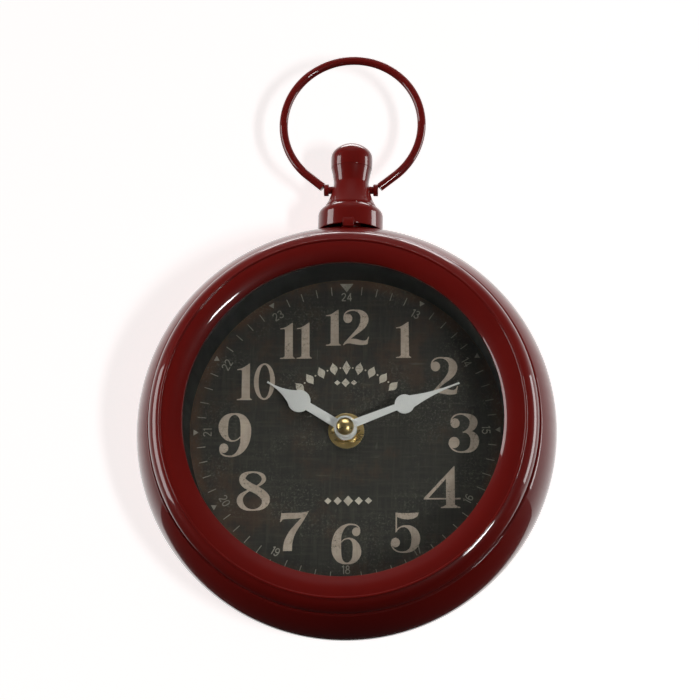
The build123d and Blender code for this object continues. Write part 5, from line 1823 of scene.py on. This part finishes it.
class CLOCK_OT_make_stage(bpy.types.Operator):
    """Set the pale floor and wall, the studio lights and the camera"""

    bl_idname = "clock.make_stage"
    bl_label = "Stage"

    def execute(self, context):
        stage = context.scene.pocket_clock.stage
        wall = self.make_wall(context)
        floor = self.make_floor(context, stage)
        self.make_surroundings(context)
        kept_off = [wall, floor]
        for name, place, wide, high, radiance, glossy in (
            ("left_softbox", (-1.33, -0.45, 0.14), 0.60, 1.00, stage.left_light, True),
            ("right_softbox", (1.40, 0.05, 0.20), 0.50, 0.90, stage.right_light, True),
            ("top_softbox", (0.0, -0.90, 1.20), 1.10, 0.70, stage.top_light, False),
            ("rear_softbox", (-0.5, 1.30, 0.75), 1.20, 1.20, REAR_RADIANCE, False),
            ("edge_softbox", (0.0, 0.50, 1.35), 1.20, 0.30, stage.edge_light, True),
        ):
            light = softbox(context, name, place, wide, high, radiance, kept_off)
            light.visible_glossy = glossy
        flash = softbox(context, "flash", (1.15, -2.13, -0.63), 0.18, 0.45, 1.0, [floor])
        flash.data.energy = stage.flash * pi * flash.location.length_squared
        self.make_camera(context, stage)
        context.scene.view_settings.view_transform = "Standard"
        return {"FINISHED"}

    def make_camera(self, context, stage):
        target = Vector(stage.target)
        low, side = stage.elevation, stage.azimuth
        away = Vector((sin(side) * cos(low), -cos(side) * cos(low), sin(low)))
        data = bpy.data.cameras.new("camera")
        data.lens, data.sensor_width = stage.lens, 36.0
        data.clip_start, data.clip_end = 0.05, 50.0
        camera = bpy.data.objects.new("camera", data)
        camera.location = target + away * stage.distance
        level = (-away).to_track_quat("-Z", "Y")
        camera.rotation_mode = "QUATERNION"
        camera.rotation_quaternion = level @ Quaternion((0.0, 0.0, 1.0), stage.roll)
        context.scene.collection.objects.link(camera)
        context.scene.camera = camera

    def make_wall(self, context):
        """White wall behind the clock that shows from the front only, so the back can be seen."""
        material = bpy.data.materials.new("stage_wall")
        material.use_nodes = True
        tree = material.node_tree
        tree.nodes.clear()
        glow = add_node(
            tree, "ShaderNodeEmission", {"Color": (0.855, 0.818, 0.810, 1.0), "Strength": 1.0},
        )
        plain = add_node(tree, "ShaderNodeBsdfDiffuse", {"Color": (0.95, 0.95, 0.95, 1.0)})
        white = add_node(tree, "ShaderNodeAddShader", {0: glow.outputs[0], 1: plain.outputs[0]})
        clear = tree.nodes.new("ShaderNodeBsdfTransparent")
        path = tree.nodes.new("ShaderNodeLightPath")
        side = tree.nodes.new("ShaderNodeNewGeometry")
        front = maths(
            tree, "SUBTRACT", path.outputs["Is Camera Ray"], side.outputs["Backfacing"], clamp=True,
        )
        mix = add_node(
            tree, "ShaderNodeMixShader", {0: front, 1: clear.outputs[0], 2: white.outputs[0]},
        )
        result = tree.nodes.new("ShaderNodeOutputMaterial")
        tree.links.new(mix.outputs[0], result.inputs["Surface"])
        outline = [(-3.0, -1.3), (3.0, -1.3), (3.0, 2.5), (-3.0, 2.5)]
        corners = [(across, WALL_GAP, up) for across, up in outline]
        return stage_sheet(context, "stage_wall", corners, material)

    def make_floor(self, context, stage):
        """Pale floor, dim to all but the camera."""
        pale = context.scene.pocket_clock.colours.floor
        floor = bpy.data.materials.new("stage_floor")
        floor.use_nodes = True
        tree = floor.node_tree
        tree.nodes.clear()
        cloud = effect(tree, "Cloudy Mottle", Scale=1.5, Contrast=1.0)["Mask"]
        tone = blended(tree, cloud, pale, tuple(value * 0.97 for value in pale))
        seen = add_node(tree, "ShaderNodeEmission", {"Color": tone})
        dim = add_node(tree, "ShaderNodeBsdfDiffuse", {"Color": (0.04, 0.04, 0.04, 1.0)})
        path = tree.nodes.new("ShaderNodeLightPath")
        mix = add_node(
            tree, "ShaderNodeMixShader",
            {0: path.outputs["Is Camera Ray"], 1: dim.outputs[0], 2: seen.outputs[0]},
        )
        result = tree.nodes.new("ShaderNodeOutputMaterial")
        tree.links.new(mix.outputs[0], result.inputs["Surface"])
        drop = stage.floor_drop
        corners = [(-6.0, -6.0, -drop), (6.0, -6.0, -drop), (6.0, 6.0, -drop), (-6.0, 6.0, -drop)]
        return stage_sheet(context, "stage_floor", corners, floor)

    def make_surroundings(self, context):
        """White to look at; as light, dim in front of the clock and bright behind it."""
        world = bpy.data.worlds.new("studio")
        context.scene.world = world
        world.use_nodes = True
        tree = world.node_tree
        tree.nodes.clear()
        ray = add_node(tree, "ShaderNodeTexCoord").outputs["Generated"]
        parts = add_node(tree, "ShaderNodeSeparateXYZ", {0: ray})
        behind = stepped(tree, parts.outputs["Y"], -0.1, 0.8, 0.03, 1.0)
        above = stepped(tree, parts.outputs["Z"], 0.5, 1.0, 0.0, 0.12)
        strength = maths(tree, "ADD", behind, above)
        light = add_node(
            tree, "ShaderNodeBackground", {"Color": (1.0, 0.99, 0.98, 1.0), "Strength": strength},
        )
        seen = add_node(tree, "ShaderNodeBackground", {"Color": CLEAR_WHITE, "Strength": 1.0})
        path = tree.nodes.new("ShaderNodeLightPath")
        mix = add_node(
            tree, "ShaderNodeMixShader",
            {0: path.outputs["Is Camera Ray"], 1: light.outputs[0], 2: seen.outputs[0]},
        )
        result = tree.nodes.new("ShaderNodeOutputWorld")
        tree.links.new(mix.outputs[0], result.inputs["Surface"])


# ---- panel and registration
PIECE_OPERATORS = [
    CLOCK_OT_make_case, CLOCK_OT_make_bezel, CLOCK_OT_make_glazing, CLOCK_OT_make_dial,
    CLOCK_OT_print_hours, CLOCK_OT_print_day_hours, CLOCK_OT_print_track, CLOCK_OT_print_ornaments,
    CLOCK_OT_make_hands, CLOCK_OT_make_hand_fixings, CLOCK_OT_make_stem, CLOCK_OT_make_bow,
    CLOCK_OT_make_back, CLOCK_OT_finish_movement, CLOCK_OT_make_stage,
]


class CLOCK_PT_pieces(bpy.types.Panel):
    """Lists the clock's pieces and sizes"""

    bl_idname = "CLOCK_PT_pieces"
    bl_label = "Wall Clock"
    bl_space_type = "VIEW_3D"
    bl_region_type = "UI"
    bl_category = "Clock"

    def draw(self, context):
        column = self.layout.column()
        for operator in PIECE_OPERATORS:
            column.operator(operator.bl_idname)
        settings = context.scene.pocket_clock
        for part in ("case", "dial", "hands", "stem", "colours", "stage"):
            group = getattr(settings, part)
            box = self.layout.box()
            for name in group.bl_rna.properties.keys():
                if name not in ("rna_type", "name"):
                    box.prop(group, name)


SETTINGS = [
    ClockCaseSizes, ClockDialSizes, ClockHandSizes, ClockStemSizes, ClockColours,
    ClockStageSizes, ClockSettings,
]


def register():
    for each in SETTINGS + PIECE_OPERATORS + [CLOCK_PT_pieces]:
        bpy.utils.register_class(each)
    bpy.types.Scene.pocket_clock = PointerProperty(type=ClockSettings)


def unregister():
    del bpy.types.Scene.pocket_clock
    for each in reversed(SETTINGS + PIECE_OPERATORS + [CLOCK_PT_pieces]):
        bpy.utils.unregister_class(each)


def main():
    register()
    bpy.ops.clock.make_case()
    bpy.ops.clock.make_bezel()
    bpy.ops.clock.make_glazing()
    bpy.ops.clock.make_dial()
    bpy.ops.clock.print_hours()
    bpy.ops.clock.print_day_hours()
    bpy.ops.clock.print_track()
    bpy.ops.clock.print_ornaments()
    bpy.ops.clock.make_hands()
    bpy.ops.clock.make_hand_fixings()
    bpy.ops.clock.make_stem()
    bpy.ops.clock.make_bow()
    bpy.ops.clock.make_back()
    bpy.ops.clock.finish_movement()
    bpy.ops.clock.make_stage()
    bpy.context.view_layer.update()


if __name__ == "__main__":
    main()
